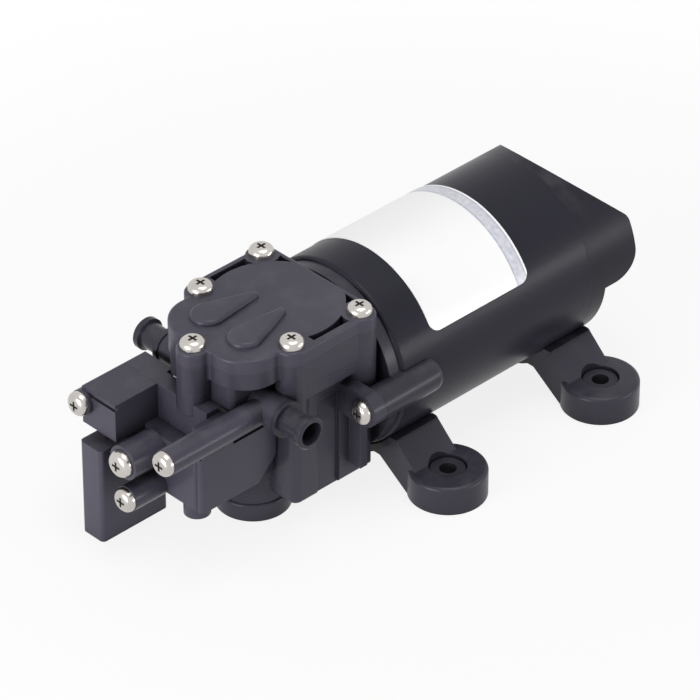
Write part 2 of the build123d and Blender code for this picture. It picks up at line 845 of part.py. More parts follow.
# Base foot: a round rubber foot below the head
base_tier_height = 5.0
base_upper_radius = 9.2
base_edge_radius = 0.8

with BuildPart() as base_foot:
    with BuildSketch(head_level(0)):
        with Locations((foot_boss_x, 0)):
            Circle(base_radius)
    extrude(amount=base_tier_height)
    fillet(base_foot.edges().group_by(Axis.Z)[-1], base_edge_radius)
    with BuildSketch(head_level(base_tier_height)):
        with Locations((foot_boss_x, 0)):
            Circle(base_upper_radius)
    extrude(amount=foot_boss_bottom - base_tier_height)
    with BuildSketch(head_level(foot_boss_bottom)):
        with Locations((foot_boss_x, 0)):
            Circle(base_stud_radius)
    extrude(amount=base_stud_height)

base_foot.part.label = "base_foot"
export_step(base_foot.part, "parts/base_foot.step")

# Valve plate: closes the pumping chamber and carries both valves
diaphragm_radius = 14.2
diaphragm_rim_thickness = 1.2
chamber_radius = 11.8
chamber_depth = 5.4
lobe_recess = 3.4
web_rise = 3.0
web_thickness = 2.0
chamber_top = joint_height + chamber_depth
lobe_underside = joint_height + lobe_recess
web_bottom = joint_height + web_rise
web_top = web_bottom + web_thickness
valve_pocket_radius = 3.8
stem_hole_radius = 1.1
flow_hole_radius = 0.85
flow_hole_ring = 2.35
flow_hole_count = 5
tail_x = -3.0
tail_y = 5.0
tail_hole_radius = 1.3
seal_center_x = -11.0
seal_ring_radius = 12.6
seal_wire = 0.7
groove_depth = 1.4
groove_half_width = 0.8

with BuildPart() as valve_plate:
    with BuildSketch(head_level(joint_height)):
        add(deck_outline.sketch)
    extrude(amount=plate_height)
    with BuildSketch(head_level(lobe_underside)):
        add(lobe_outline.sketch)
    extrude(amount=plate_top - lobe_underside)
    with BuildSketch(head_level(joint_height)):
        Circle(diaphragm_radius + seat_gap)
    extrude(amount=diaphragm_rim_thickness, mode=Mode.SUBTRACT)
    with BuildSketch(head_level(joint_height)):
        Circle(chamber_radius)
    extrude(amount=chamber_top - joint_height, mode=Mode.SUBTRACT)
    with BuildSketch(head_level(joint_height)):
        with Locations((valve_x, -valve_y), (valve_x, valve_y)):
            Circle(valve_pocket_radius)
    extrude(amount=web_bottom - joint_height, mode=Mode.SUBTRACT)
    with BuildSketch(head_level(web_top)):
        with Locations((valve_x, -valve_y), (valve_x, valve_y)):
            Circle(valve_pocket_radius)
    extrude(amount=plate_top - web_top, mode=Mode.SUBTRACT)
    with BuildSketch(head_level(web_bottom)):
        with Locations((valve_x, -valve_y), (valve_x, valve_y)):
            Circle(stem_hole_radius)
            with PolarLocations(flow_hole_ring, flow_hole_count):
                Circle(flow_hole_radius)
    extrude(amount=web_top - web_bottom, mode=Mode.SUBTRACT)
    with BuildSketch(head_level(chamber_top)):
        with Locations((tail_x, -tail_y), (tail_x, tail_y)):
            Circle(tail_hole_radius)
    extrude(amount=plate_top - chamber_top, mode=Mode.SUBTRACT)
    with BuildSketch(head_level(plate_top)):
        with Locations((seal_center_x, 0)):
            Circle(seal_ring_radius + groove_half_width)
            Circle(seal_ring_radius - groove_half_width, mode=Mode.SUBTRACT)
    extrude(amount=-groove_depth, mode=Mode.SUBTRACT)
    with BuildSketch(head_level(joint_height)):
        with Locations(*ear_places):
            Circle(screw_hole)
    extrude(amount=plate_height, mode=Mode.SUBTRACT)

valve_plate.part.label = "valve_plate"
export_step(valve_plate.part, "parts/valve_plate.step")

# Cover seal: a rubber ring round both flow channels
with BuildPart() as cover_seal:
    with BuildSketch(head_side(0)):
        with Locations((seal_center_x + seal_ring_radius, plate_top - groove_depth / 2)):
            Circle(seal_wire - seat_gap / 2)
    revolve(axis=Axis((head_x + seal_center_x, 0, 0), (0, 0, 1)))

cover_seal.part.label = "cover_seal"
export_step(cover_seal.part, "parts/cover_seal.step")

# Pump cover: a round middle, two teardrop channels and five screw ears
dome_radius = 17.5
rim_inner_y = 19.0
rim_inner_rear = 14.6
rim_pocket_front = -5.0
rim_ear_wall = 0.6
rear_bridge_half_width = 7.0
teardrop_radius = 4.7
teardrop_tail_radius = 1.4
teardrop_rise = 1.5
teardrop_edge_radius = 1.3
channel_radius = 3.6
channel_tail_radius = 1.3
channel_depth = 1.8
cover_edge_radius = 0.8


def teardrop(side, head_radius, tail_radius):
    """The outline of one flow channel: a round head over the valve and a narrow tail."""
    with BuildSketch() as drop:
        with Locations((valve_x, side * valve_y)):
            Circle(head_radius)
        with Locations((tail_x, side * tail_y)):
            Circle(tail_radius)
        make_hull()
    return drop.sketch


with BuildPart() as pump_cover:
    with BuildSketch(head_level(plate_top)):
        add(lobe_outline.sketch)
    extrude(amount=cover_height)
    fillet(pump_cover.edges().group_by(Axis.Z)[-1], cover_edge_radius)
    with BuildSketch(head_level(plate_top)):
        with Locations((rim_pocket_front, 0)):
            Rectangle(rim_inner_rear - rim_pocket_front, 2 * rim_inner_y, align=(Align.MIN, Align.CENTER))
        Circle(dome_radius, mode=Mode.SUBTRACT)
        with Locations(*side_ears):
            Circle(ear_radius + rim_ear_wall, mode=Mode.SUBTRACT)
        Rectangle(4 * head_rear, 2 * rear_bridge_half_width, mode=Mode.SUBTRACT)
    extrude(amount=cover_height, mode=Mode.SUBTRACT)
    for side in (-1, 1):
        with BuildSketch(head_level(cover_top)):
            add(teardrop(side, teardrop_radius, teardrop_tail_radius))
        extrude(amount=teardrop_rise)
    fillet(pump_cover.edges().group_by(Axis.Z)[-1], teardrop_edge_radius)
    for side in (-1, 1):
        with BuildSketch(head_level(plate_top)):
            add(teardrop(side, channel_radius, channel_tail_radius))
        extrude(amount=channel_depth, mode=Mode.SUBTRACT)
    with BuildSketch(head_level(plate_top)):
        with Locations(*ear_places):
            Circle(screw_hole)
    extrude(amount=cover_height, mode=Mode.SUBTRACT)

pump_cover.part.label = "pump_cover"
export_step(pump_cover.part, "parts/pump_cover.step")

# Cover screws
with BuildPart() as cover_screws:
    for places, reach in ((side_ears, deck_screw_reach), (front_ear, front_screw_reach)):
        cover_screw = pan_screw(cover_top - reach - overrun)
        for x, y in places:
            with Locations((head_x + x, y, cover_top)):
                add(cover_screw)

cover_screws.part.label = "cover_screws"
export_step(cover_screws.part, "parts/cover_screws.step")

# Motor screws: clamp the housing's ears to the flange's sleeves
motor_screw = pan_screw(motor_screw_bore_end - ear_plate_front - seat_gap)

with BuildPart() as motor_screws:
    for side in (-1, 1):
        with Locations(facing_front(ear_plate_front, side * sleeve_reach, sleeve_height)):
            add(motor_screw)

motor_screws.part.label = "motor_screws"
export_step(motor_screws.part, "parts/motor_screws.step")

# Eccentric: a hub on the shaft with an offset journal in front and a balance weight above
journal_radius = 5.0
journal_half_width = 2.6
shoulder_radius = 7.0
shoulder_end = 4.0
hub_radius = 8.0
hub_end = 9.0
weight_radius = 10.5
grub_x = 6.5
grub_end = 7.6

with BuildPart() as eccentric:
    with BuildSketch(across(head_x - journal_half_width)):
        with Locations((0, crank_z)):
            Circle(journal_radius)
    extrude(amount=2 * journal_half_width)
    with BuildSketch(across(head_x + journal_half_width)):
        with Locations((0, crank_z)):
            Circle(shoulder_radius)
    extrude(amount=shoulder_end - journal_half_width)
    with BuildSketch(across(head_x + shoulder_end)):
        with Locations((0, axis_height)):
            Circle(weight_radius)
            Rectangle(
                2 * weight_radius, weight_radius, align=(Align.CENTER, Align.MAX), mode=Mode.SUBTRACT
            )
            Circle(hub_radius)
    extrude(amount=hub_end - shoulder_end)
    with BuildSketch(across(head_x - journal_half_width)):
        with Locations((0, axis_height)):
            Circle(shaft_radius + running_gap)
    extrude(amount=journal_half_width + hub_end, mode=Mode.SUBTRACT)
    with BuildSketch(head_side(0)):
        with Locations((grub_x, axis_height)):
            Circle(screw_hole)
    extrude(amount=-hub_radius, mode=Mode.SUBTRACT)

eccentric.part.label = "eccentric"
export_step(eccentric.part, "parts/eccentric.step")

# Grub screw: holds the eccentric on the shaft
socket_radius = 0.8
socket_depth = 1.5

with BuildPart() as eccentric_screw:
    with BuildSketch(head_side(shaft_radius + running_gap)):
        with Locations((grub_x, axis_height)):
            Circle(screw_radius)
    extrude(amount=-(grub_end - shaft_radius - running_gap))
    with BuildSketch(head_side(grub_end)):
        with Locations((grub_x, axis_height)):
            RegularPolygon(socket_radius, 6)
    extrude(amount=socket_depth, mode=Mode.SUBTRACT)

eccentric_screw.part.label = "eccentric_screw"
export_step(eccentric_screw.part, "parts/eccentric_screw.step")

# Bearing between the journal and the rod: two rings and ten balls
race_half_width = 2.5
inner_race_radius = 6.4
outer_race_bore = 8.1
outer_race_radius = 9.5
ball_count = 10
ball_radius = (outer_race_bore - inner_race_radius) / 2 - running_gap
ball_ring = (outer_race_bore + inner_race_radius) / 2

with BuildPart() as bearing_inner_ring:
    with BuildSketch(across(head_x - race_half_width)):
        with Locations((0, crank_z)):
            Circle(inner_race_radius)
            Circle(journal_radius + running_gap, mode=Mode.SUBTRACT)
    extrude(amount=2 * race_half_width)

bearing_inner_ring.part.label = "bearing_inner_ring"
export_step(bearing_inner_ring.part, "parts/bearing_inner_ring.step")

with BuildPart() as bearing_outer_ring:
    with BuildSketch(across(head_x - race_half_width)):
        with Locations((0, crank_z)):
            Circle(outer_race_radius)
            Circle(outer_race_bore, mode=Mode.SUBTRACT)
    extrude(amount=2 * race_half_width)

bearing_outer_ring.part.label = "bearing_outer_ring"
export_step(bearing_outer_ring.part, "parts/bearing_outer_ring.step")

with BuildPart() as bearing_balls:
    with Locations(Plane(origin=(head_x, 0, crank_z), x_dir=(0, 1, 0), z_dir=(1, 0, 0))):
        with PolarLocations(ball_ring, ball_count):
            Sphere(ball_radius)

bearing_balls.part.label = "bearing_balls"
export_step(bearing_balls.part, "parts/bearing_balls.step")

# Connecting rod: a ring round the bearing and a round support below the diaphragm
rod_ring_radius = 12.0
rod_half_width = 3.0
rod_neck_half_width = 5.0
support_radius = 7.5
support_drop = 0.4
support_thickness = 1.4
rod_hole_depth = 3.4
support_top = joint_height - support_drop
support_bottom = support_top - support_thickness
rod_hole_bottom = support_top - rod_hole_depth

with BuildPart() as connecting_rod:
    with BuildSketch(across(head_x - rod_half_width)):
        with Locations((0, crank_z)):
            Circle(rod_ring_radius)
            Rectangle(2 * rod_neck_half_width, support_bottom - crank_z, align=(Align.CENTER, Align.MIN))
            Circle(outer_race_radius + running_gap, mode=Mode.SUBTRACT)
    extrude(amount=2 * rod_half_width)
    with BuildSketch(head_level(support_bottom)):
        Circle(support_radius)
    extrude(amount=support_top - support_bottom)
    with BuildSketch(head_level(rod_hole_bottom)):
        Circle(screw_hole)
    extrude(amount=support_top - rod_hole_bottom, mode=Mode.SUBTRACT)

connecting_rod.part.label = "connecting_rod"
export_step(connecting_rod.part, "parts/connecting_rod.step")

# Diaphragm: a rubber disc with a clamped rim and one fold round its middle
middle_radius = 8.2
middle_bottom = support_top + seat_gap
middle_thickness = 1.0
fold_drop = 1.0
middle_hole_radius = screw_radius + body_gap
fold_radius = (middle_radius + chamber_radius) / 2
rim_bottom = joint_height
rim_top = joint_height + diaphragm_rim_thickness

with BuildPart() as diaphragm:
    with BuildSketch(head_side(0)):
        with BuildLine():
            Polyline(
                (middle_radius, middle_bottom),
                (middle_hole_radius, middle_bottom),
                (middle_hole_radius, middle_bottom + middle_thickness),
                (middle_radius, middle_bottom + middle_thickness),
            )
            ThreePointArc(
                (middle_radius, middle_bottom + middle_thickness),
                (fold_radius, rim_bottom + middle_thickness - fold_drop),
                (chamber_radius, rim_top),
            )
            Polyline(
                (chamber_radius, rim_top),
                (diaphragm_radius, rim_top),
                (diaphragm_radius, rim_bottom),
                (chamber_radius, rim_bottom),
            )
            ThreePointArc(
                (chamber_radius, rim_bottom),
                (fold_radius, rim_bottom - fold_drop),
                (middle_radius, middle_bottom),
            )
        make_face()
    revolve(axis=Axis((head_x, 0, 0), (0, 0, 1)))

diaphragm.part.label = "diaphragm"
export_step(diaphragm.part, "parts/diaphragm.step")

# Diaphragm retainer: a disc on top of the diaphragm, screwed down into the rod
retainer_radius = 7.4
retainer_thickness = 1.4
retainer_edge_radius = 0.5
retainer_bottom = middle_bottom + middle_thickness + seat_gap
retainer_top = retainer_bottom + retainer_thickness
sunk_head_radius = 2.8
sunk_head_height = 1.1

with BuildPart() as diaphragm_retainer:
    with BuildSketch(head_level(retainer_bottom)):
        Circle(retainer_radius)
    extrude(amount=retainer_thickness)
    fillet(diaphragm_retainer.edges().group_by(Axis.Z)[-1], retainer_edge_radius)
    with BuildSketch(head_side(0)):
        with BuildLine():
            Polyline(
                (0, retainer_top),
                (sunk_head_radius + seat_gap, retainer_top),
                (screw_hole, retainer_top - sunk_head_height),
                (screw_hole, retainer_bottom),
                (0, retainer_bottom),
                close=True,
            )
        make_face()
    revolve(axis=Axis((head_x, 0, 0), (0, 0, 1)), mode=Mode.SUBTRACT)

diaphragm_retainer.part.label = "diaphragm_retainer"
export_step(diaphragm_retainer.part, "parts/diaphragm_retainer.step")

with BuildPart() as diaphragm_screw:
    with BuildSketch(head_side(0)):
        with BuildLine():
            Polyline(
                (0, retainer_top),
                (sunk_head_radius, retainer_top),
                (screw_radius, retainer_top - sunk_head_height),
                (screw_radius, rod_hole_bottom + seat_gap),
                (0, rod_hole_bottom + seat_gap),
                close=True,
            )
        make_face()
    revolve(axis=Axis((head_x, 0, 0), (0, 0, 1)))
    with BuildSketch(head_level(retainer_top)):
        Rectangle(cross_length, cross_width)
        Rectangle(cross_width, cross_length)
    extrude(amount=-cross_depth, mode=Mode.SUBTRACT)

diaphragm_screw.part.label = "diaphragm_screw"
export_step(diaphragm_screw.part, "parts/diaphragm_screw.step")

# Valves: rubber umbrellas on both sides of the web
valve_disc_radius = 3.3
valve_disc_thickness = 0.8
valve_stem_radius = stem_hole_radius - seat_gap
valve_bulb_radius = 1.5
valve_bulb_height = 0.7
valve_travel = 0.8


def umbrella(up):
    """A valve on the web's middle: its disc lies above the web if up is 1, and below it if up is -1."""
    web_half = (web_top - web_bottom) / 2
    bulb_start = web_half + valve_travel + seat_gap
    with BuildPart() as valve:
        with BuildSketch(Plane.XZ):
            with BuildLine():
                Polyline(
                    (0, up * (web_half + seat_gap + valve_disc_thickness)),
                    (valve_stem_radius, up * (web_half + seat_gap + valve_disc_thickness)),
                    (valve_disc_radius, up * (web_half + seat_gap + valve_disc_thickness / 2)),
                    (valve_disc_radius, up * (web_half + seat_gap)),
                    (valve_stem_radius, up * (web_half + seat_gap)),
                    (valve_stem_radius, -up * bulb_start),
                    (valve_bulb_radius, -up * bulb_start),
                    (valve_stem_radius, -up * (bulb_start + valve_bulb_height)),
                    (0, -up * (bulb_start + valve_bulb_height)),
                    close=True,
                )
            make_face()
        revolve(axis=Axis.Z)
    return valve.part


for valve_name, side in (("inlet_valve", 1), ("outlet_valve", -1)):
    with BuildPart() as valve_piece:
        with Locations((head_x + valve_x, side * valve_y, (web_bottom + web_top) / 2)):
            add(umbrella(side))
    valve_piece.part.label = valve_name
    export_step(valve_piece.part, f"parts/{valve_name}.step")

# Hose barbs: one in each port, with a rubber ring round its spigot
barb_end = 30.5
barb_radius = 3.5
barb_bore = 2.6
mouth_radius = 3.2
mouth_depth = 3.2
bead_radius = 4.4
bead_length = 2.6
bead_slope = 0.7
bead_edge = 0.4
collar_radius = 4.9
collar_length = 1.4
barb_seal_wire = 0.25
barb_seal_start = 12.5
barb_seal_groove = 0.6
spigot_radius = port_bore_radius - seat_gap
spigot_start = port_bore_end + seat_gap
seal_seat_radius = port_bore_radius - 2 * barb_seal_wire
barb_outline = [
    (barb_bore, spigot_start),
    (spigot_radius, spigot_start),
    (spigot_radius, barb_seal_start),
    (seal_seat_radius, barb_seal_start),
    (seal_seat_radius, barb_seal_start + barb_seal_groove),
    (spigot_radius, barb_seal_start + barb_seal_groove),
    (spigot_radius, port_boss_end),
    (collar_radius, port_boss_end),
    (collar_radius, port_boss_end + collar_length),
    (barb_radius, port_boss_end + collar_length),
    (barb_radius, barb_end - bead_length),
    (bead_radius, barb_end - bead_length + bead_slope),
    (bead_radius, barb_end - bead_edge),
    (bead_radius - bead_edge, barb_end),
    (mouth_radius, barb_end),
    (barb_bore, barb_end - mouth_depth),
]

for barb_name, side in (("inlet_barb", 1), ("outlet_barb", -1)):
    with BuildPart() as barb:
        with BuildSketch(Plane(origin=(head_x + valve_x, 0, port_height), x_dir=(0, 0, 1), z_dir=(-side, 0, 0))):
            with BuildLine():
                Polyline(*barb_outline, close=True)
            make_face()
        revolve(axis=Axis((head_x + valve_x, 0, port_height), (0, 1, 0)))
    barb.part.label = barb_name
    export_step(barb.part, f"parts/{barb_name}.step")

with BuildPart() as barb_seals:
    for side in (-1, 1):
        with BuildSketch(Plane(origin=(head_x + valve_x, 0, port_height), x_dir=(0, 0, 1), z_dir=(-side, 0, 0))):
            with Locations((seal_seat_radius + barb_seal_wire, barb_seal_start + barb_seal_groove / 2)):
                Circle(barb_seal_wire - running_gap)
        revolve(axis=Axis((head_x + valve_x, 0, port_height), (0, 1, 0)))

barb_seals.part.label = "barb_seals"
export_step(barb_seals.part, "parts/barb_seals.step")

# Pressure switch body: a box below the port block, an upright block in front of it and three screw tubes
switch_front = -47.0
box_front = -36.4
box_half_width = 10.0
box_wall = 2.0
box_room_front = -28.0
block_front = -31.1
block_rear = -26.1
block_near = -8.0
block_far = 22.3
block_wing_rear = -24.0
block_wing_near = 12.0
spring_tube_y = 5.5
spring_tube_drop = 4.0
spring_tube_z = port_block_bottom - spring_tube_drop
spring_tube_radius = 4.75
spring_bore = 3.75
long_tube_front = -50.6
tube_web_front = -36.0
tube_web_near = -12.2
ear_screw_y = 21.5
ear_disc_radius = 3.4
ear_screw_drop = 4.2
ear_screw_z = deck_height - ear_screw_drop
button_x = -38.0
button_drop = 2.0
button_z = spring_tube_z - button_drop
button_hole_radius = 1.3
guide_front = -33.0
seat_front = -31.0
diaphragm_pocket_radius = 4.3
stub_x = -31.2
stub_y = -4.0
stub_radius = 3.5
stub_length = 5.5
stub_bottom = box_bottom - stub_length
spacer_radius = 2.0
spacer_places = [(-32.5, 20.0), (-29.0, 20.0)]
box_edge_radius = 1.5
case_near = 12.4
rod_radius = 1.4

with BuildPart() as switch_body:
    with BuildSketch(head_level(box_bottom)):
        with Locations((box_front, 0)):
            Rectangle(case_front - box_front, 2 * box_half_width, align=(Align.MIN, Align.CENTER))
    extrude(amount=port_block_bottom - box_bottom)
    fillet(switch_body.edges().filter_by(Axis.Z).group_by(Axis.X)[0], box_edge_radius)
    with BuildSketch(head_level(port_block_bottom - overrun)):
        with Locations((block_front, block_near)):
            Rectangle(block_rear - block_front, block_far - block_near, align=(Align.MIN, Align.MIN))
        with Locations((block_rear, block_wing_near)):
            Rectangle(block_wing_rear - block_rear, block_far - block_wing_near, align=(Align.MIN, Align.MIN))
    extrude(amount=deck_height - port_block_bottom + overrun)
    with BuildSketch(head_level(port_block_bottom - overrun)):
        with Locations((tube_web_front, tube_web_near)):
            Rectangle(block_rear - tube_web_front, block_near - tube_web_near, align=(Align.MIN, Align.MIN))
    extrude(amount=tube_z - port_block_bottom + overrun)
    with BuildSketch(head_level(port_block_bottom)):
        with Locations((block_rear, -box_half_width)):
            Rectangle(
                tube_web_front - block_rear, tube_web_near + box_half_width, align=(Align.MAX, Align.MAX)
            )
    extrude(amount=-overrun, mode=Mode.SUBTRACT)
    with BuildSketch(head_level(front_boss_bottom - seat_gap)):
        with Locations((front_ear_x, 0)):
            Circle(ear_radius + seat_gap)
            Rectangle(
                case_front - front_ear_x,
                2 * (ear_radius + seat_gap),
                align=(Align.MIN, Align.CENTER),
            )
    extrude(amount=deck_height - front_boss_bottom + seat_gap, mode=Mode.SUBTRACT)
    for y, z, radius, start, end in (
        (spring_tube_y, spring_tube_z, spring_tube_radius, switch_front, box_front),
        (low_screw_y, low_screw_z, tube_radius, switch_front, box_front),
        (tube_y, tube_z, tube_radius, long_tube_front, lug_front),
        (ear_screw_y, ear_screw_z, ear_disc_radius, block_front, block_wing_rear),
    ):
        with BuildSketch(across(head_x + start)):
            with Locations((y, z)):
                Circle(radius)
        extrude(amount=end - start)
    with BuildSketch(head_level(stub_bottom)):
        with Locations((stub_x, stub_y)):
            Circle(stub_radius)
    extrude(amount=box_bottom - stub_bottom)
    with BuildSketch(head_side(box_half_width)):
        with Locations(*spacer_places):
            Circle(spacer_radius)
    extrude(amount=-(case_near - box_half_width))
    with BuildSketch(head_level(box_bottom + box_wall)):
        with Locations((box_room_front, -box_half_width)):
            Rectangle(
                case_front - box_wall - box_room_front,
                2 * box_half_width - box_wall,
                align=(Align.MIN, Align.MIN),
            )
    extrude(amount=port_block_bottom - box_bottom - 2 * box_wall, mode=Mode.SUBTRACT)
    with BuildSketch(head_level(port_block_bottom)):
        with Locations((pressure_hole_x, pressure_hole_y)):
            Circle(pressure_hole_radius)
    extrude(amount=-box_wall, mode=Mode.SUBTRACT)
    with BuildSketch(across(head_x + switch_front)):
        with Locations((spring_tube_y, spring_tube_z)):
            Circle(spring_bore)
    extrude(amount=guide_front - switch_front, mode=Mode.SUBTRACT)
    with BuildSketch(across(head_x + guide_front)):
        with Locations((spring_tube_y, spring_tube_z)):
            Circle(rod_radius + running_gap)
    extrude(amount=seat_front - guide_front, mode=Mode.SUBTRACT)
    with BuildSketch(across(head_x + seat_front)):
        with Locations((spring_tube_y, spring_tube_z - overrun)):
            Circle(diaphragm_pocket_radius)
    extrude(amount=box_room_front - seat_front, mode=Mode.SUBTRACT)
    with BuildSketch(head_side(spring_tube_y)):
        with Locations((button_x, button_z)):
            Circle(button_hole_radius)
    extrude(amount=-2 * spring_tube_radius, mode=Mode.SUBTRACT)
    for y, z, start, end in (
        (low_screw_y, low_screw_z, switch_front, case_front),
        (tube_y, tube_z, long_tube_front, lug_front),
        (ear_screw_y, ear_screw_z, block_front, block_wing_rear - overrun),
    ):
        with BuildSketch(across(head_x + start)):
            with Locations((y, z)):
                Circle(screw_hole)
        extrude(amount=end - start, mode=Mode.SUBTRACT)

switch_body.part.label = "switch_body"
export_step(switch_body.part, "parts/switch_body.step")

# Switch cover: a hollow block over the switch's terminals, with an ear for its screw
cover_block_front = -45.2
cover_block_near = 10.0
cover_block_height = 11.0
cover_block_bottom = deck_height - cover_block_height
cover_block_wall = 1.5
cover_room_far = 19.0
cover_groove_drop = 2.0
cover_groove_low = deck_height - cover_groove_drop
cover_groove_width = 1.1
cover_groove_depth = 0.7
ear_front = -46.5

with BuildPart() as switch_cover:
    with BuildSketch(head_level(cover_block_bottom)):
        with Locations((cover_block_front, cover_block_near)):
            Rectangle(
                block_front - cover_block_front, block_far - cover_block_near, align=(Align.MIN, Align.MIN)
            )
    extrude(amount=deck_height - cover_block_bottom)
    with BuildSketch(head_level(cover_groove_low)):
        with Locations((cover_block_front, cover_block_near)):
            Rectangle(cover_groove_depth, block_far - cover_block_near, align=(Align.MIN, Align.MIN))
    extrude(amount=cover_groove_width, mode=Mode.SUBTRACT)
    with BuildSketch(across(head_x + ear_front)):
        with Locations((ear_screw_y, ear_screw_z)):
            Circle(ear_disc_radius)
    extrude(amount=block_front - ear_front)
    with BuildSketch(head_level(cover_block_bottom)):
        with Locations((cover_block_front + cover_block_wall, cover_block_near + cover_block_wall)):
            Rectangle(
                block_front - cover_block_front - 2 * cover_block_wall,
                cover_room_far - cover_block_near - cover_block_wall,
                align=(Align.MIN, Align.MIN),
            )
    extrude(amount=cover_groove_low - cover_block_wall - cover_block_bottom, mode=Mode.SUBTRACT)
    with BuildSketch(across(head_x + ear_front)):
        with Locations((ear_screw_y, ear_screw_z)):
            Circle(screw_hole)
    extrude(amount=block_front - ear_front, mode=Mode.SUBTRACT)

switch_cover.part.label = "switch_cover"
export_step(switch_cover.part, "parts/switch_cover.step")

# Switch panel: closes the pressure room on the near side of the box
panel_thickness = 1.5
panel_drop = 0.2
panel_top = port_block_bottom - panel_drop
panel_rear = -11.0
panel_clip = 3.0
panel_corner_radius = 1.2

with BuildPart() as switch_panel:
    with BuildSketch(head_side(-box_half_width)):
        with BuildLine():
            FilletPolyline(
                (box_front, box_bottom),
                (panel_rear - 2 * panel_clip, box_bottom),
                (panel_rear, box_bottom + 2 * panel_clip),
                (panel_rear, panel_top - panel_clip),
                (panel_rear - panel_clip, panel_top),
                (box_front, panel_top),
                radius=[0, panel_corner_radius, panel_corner_radius, panel_corner_radius, panel_corner_radius, 0],
                close=True,
            )
        make_face()
    extrude(amount=panel_thickness)
    fillet(switch_panel.edges().filter_by(Axis.Z).group_by(Axis.X)[0].group_by(Axis.Y)[0], panel_corner_radius)

switch_panel.part.label = "switch_panel"
export_step(switch_panel.part, "parts/switch_panel.step")

# Switch case: an upright snap switch beside the box, hollow, with a lid on its far side
case_far = 20.2
case_front_x = -48.4
case_rear_x = -26.4
case_clearance = 3.0
case_top = cover_block_bottom - case_clearance
case_wall = 1.0
case_corner = 1.2
lid_thickness = 1.0
post_low = 4.0
post_high = 8.0
post_start = -40.0
post_end = -36.0
blade_near = 15.2
blade_thickness = 0.3
button_radius = 1.0
terminal_places = [-41.5, -38.0, -34.5]
terminal_width = 2.4
terminal_thickness = 0.6
terminal_root = 4.0
terminal_reach = 7.5
terminal_bottom = case_top - terminal_root
terminal_top = case_top + terminal_reach
terminal_y = 17.4

with BuildPart() as switch_case:
    with BuildSketch(head_level(0)):
        with Locations((case_front_x, case_near)):
            Rectangle(case_rear_x - case_front_x, case_far - case_near, align=(Align.MIN, Align.MIN))
    extrude(amount=case_top)
    fillet(switch_case.edges().filter_by(Axis.Z), case_corner)
    with BuildSketch(head_side(case_far)):
        with Locations((case_front_x + case_wall, case_wall)):
            Rectangle(
                case_rear_x - case_front_x - 2 * case_wall, case_top - 2 * case_wall, align=(Align.MIN, Align.MIN)
            )
    extrude(amount=case_far - case_near - case_wall, mode=Mode.SUBTRACT)
    with BuildSketch(head_side(blade_near)):
        with Locations((post_start, post_low)):
            Rectangle(post_end - post_start, post_high - post_low, align=(Align.MIN, Align.MIN))
    extrude(amount=blade_near - case_near - case_wall)
    with BuildSketch(head_side(case_near)):
        with Locations((button_x, button_z)):
            Circle(button_radius + running_gap)
    extrude(amount=-case_wall, mode=Mode.SUBTRACT)
    with BuildSketch(head_level(case_top - case_wall)):
        with Locations(*[(x, terminal_y) for x in terminal_places]):
            Rectangle(terminal_width, terminal_thickness)
    extrude(amount=case_wall, mode=Mode.SUBTRACT)

switch_case.part.label = "switch_case"
export_step(switch_case.part, "parts/switch_case.step")

with BuildPart() as switch_lid:
    with BuildSketch(head_side(case_far)):
        with Locations((case_front_x + case_wall + seat_gap, case_wall + seat_gap)):
            Rectangle(
                case_rear_x - case_front_x - 2 * (case_wall + seat_gap),
                case_top - 2 * (case_wall + seat_gap),
                align=(Align.MIN, Align.MIN),
            )
    extrude(amount=lid_thickness)

switch_lid.part.label = "switch_lid"
export_step(switch_lid.part, "parts/switch_lid.step")

# Spring blade and terminals of the snap switch
with BuildPart() as switch_blade:
    with BuildSketch(head_side(blade_near)):
        with Locations((post_start, post_low)):
            Rectangle(post_end - post_start, button_z - post_low, align=(Align.MIN, Align.MIN))
    extrude(amount=-blade_thickness)

switch_blade.part.label = "switch_blade"
export_step(switch_blade.part, "parts/switch_blade.step")

with BuildPart() as switch_terminals:
    with BuildSketch(head_level(terminal_bottom)):
        with Locations(*[(x, terminal_y) for x in terminal_places]):
            Rectangle(terminal_width, terminal_thickness)
    extrude(amount=terminal_top - terminal_bottom)

switch_terminals.part.label = "switch_terminals"
export_step(switch_terminals.part, "parts/switch_terminals.step")

# Pressure plunger: a rod through the spring, with a collar for it and a cone that meets the button
collar_front = -40.5
collar_rear = -39.5
plunger_collar_radius = 3.4
cone_front = -39.2
cone_rear = -36.7
cone_front_radius = 1.6
cone_rear_radius = 3.1
rod_front = -42.5
plunger_rear = seat_front - seat_gap

with BuildPart() as pressure_plunger:
    with BuildSketch(head_side(spring_tube_y)):
        with BuildLine():
            Polyline(
                (rod_front, spring_tube_z),
                (rod_front, spring_tube_z + rod_radius),
                (collar_front, spring_tube_z + rod_radius),
                (collar_front, spring_tube_z + plunger_collar_radius),
                (collar_rear, spring_tube_z + plunger_collar_radius),
                (collar_rear, spring_tube_z + cone_front_radius),
                (cone_front, spring_tube_z + cone_front_radius),
                (cone_rear, spring_tube_z + cone_rear_radius),
                (cone_rear, spring_tube_z + rod_radius),
                (plunger_rear, spring_tube_z + rod_radius),
                (plunger_rear, spring_tube_z),
                close=True,
            )
        make_face()
    revolve(axis=Axis((head_x, spring_tube_y, spring_tube_z), (1, 0, 0)))

pressure_plunger.part.label = "pressure_plunger"
export_step(pressure_plunger.part, "parts/pressure_plunger.step")

# Pressure diaphragm and the ring that holds its rim
pressure_disc_thickness = 0.9
pressure_disc_radius = diaphragm_pocket_radius - seat_gap
ring_inner_radius = 3.0

with BuildPart() as pressure_diaphragm:
    with BuildSketch(across(head_x + seat_front)):
        with Locations((spring_tube_y, spring_tube_z - overrun)):
            Circle(pressure_disc_radius)
    extrude(amount=pressure_disc_thickness)

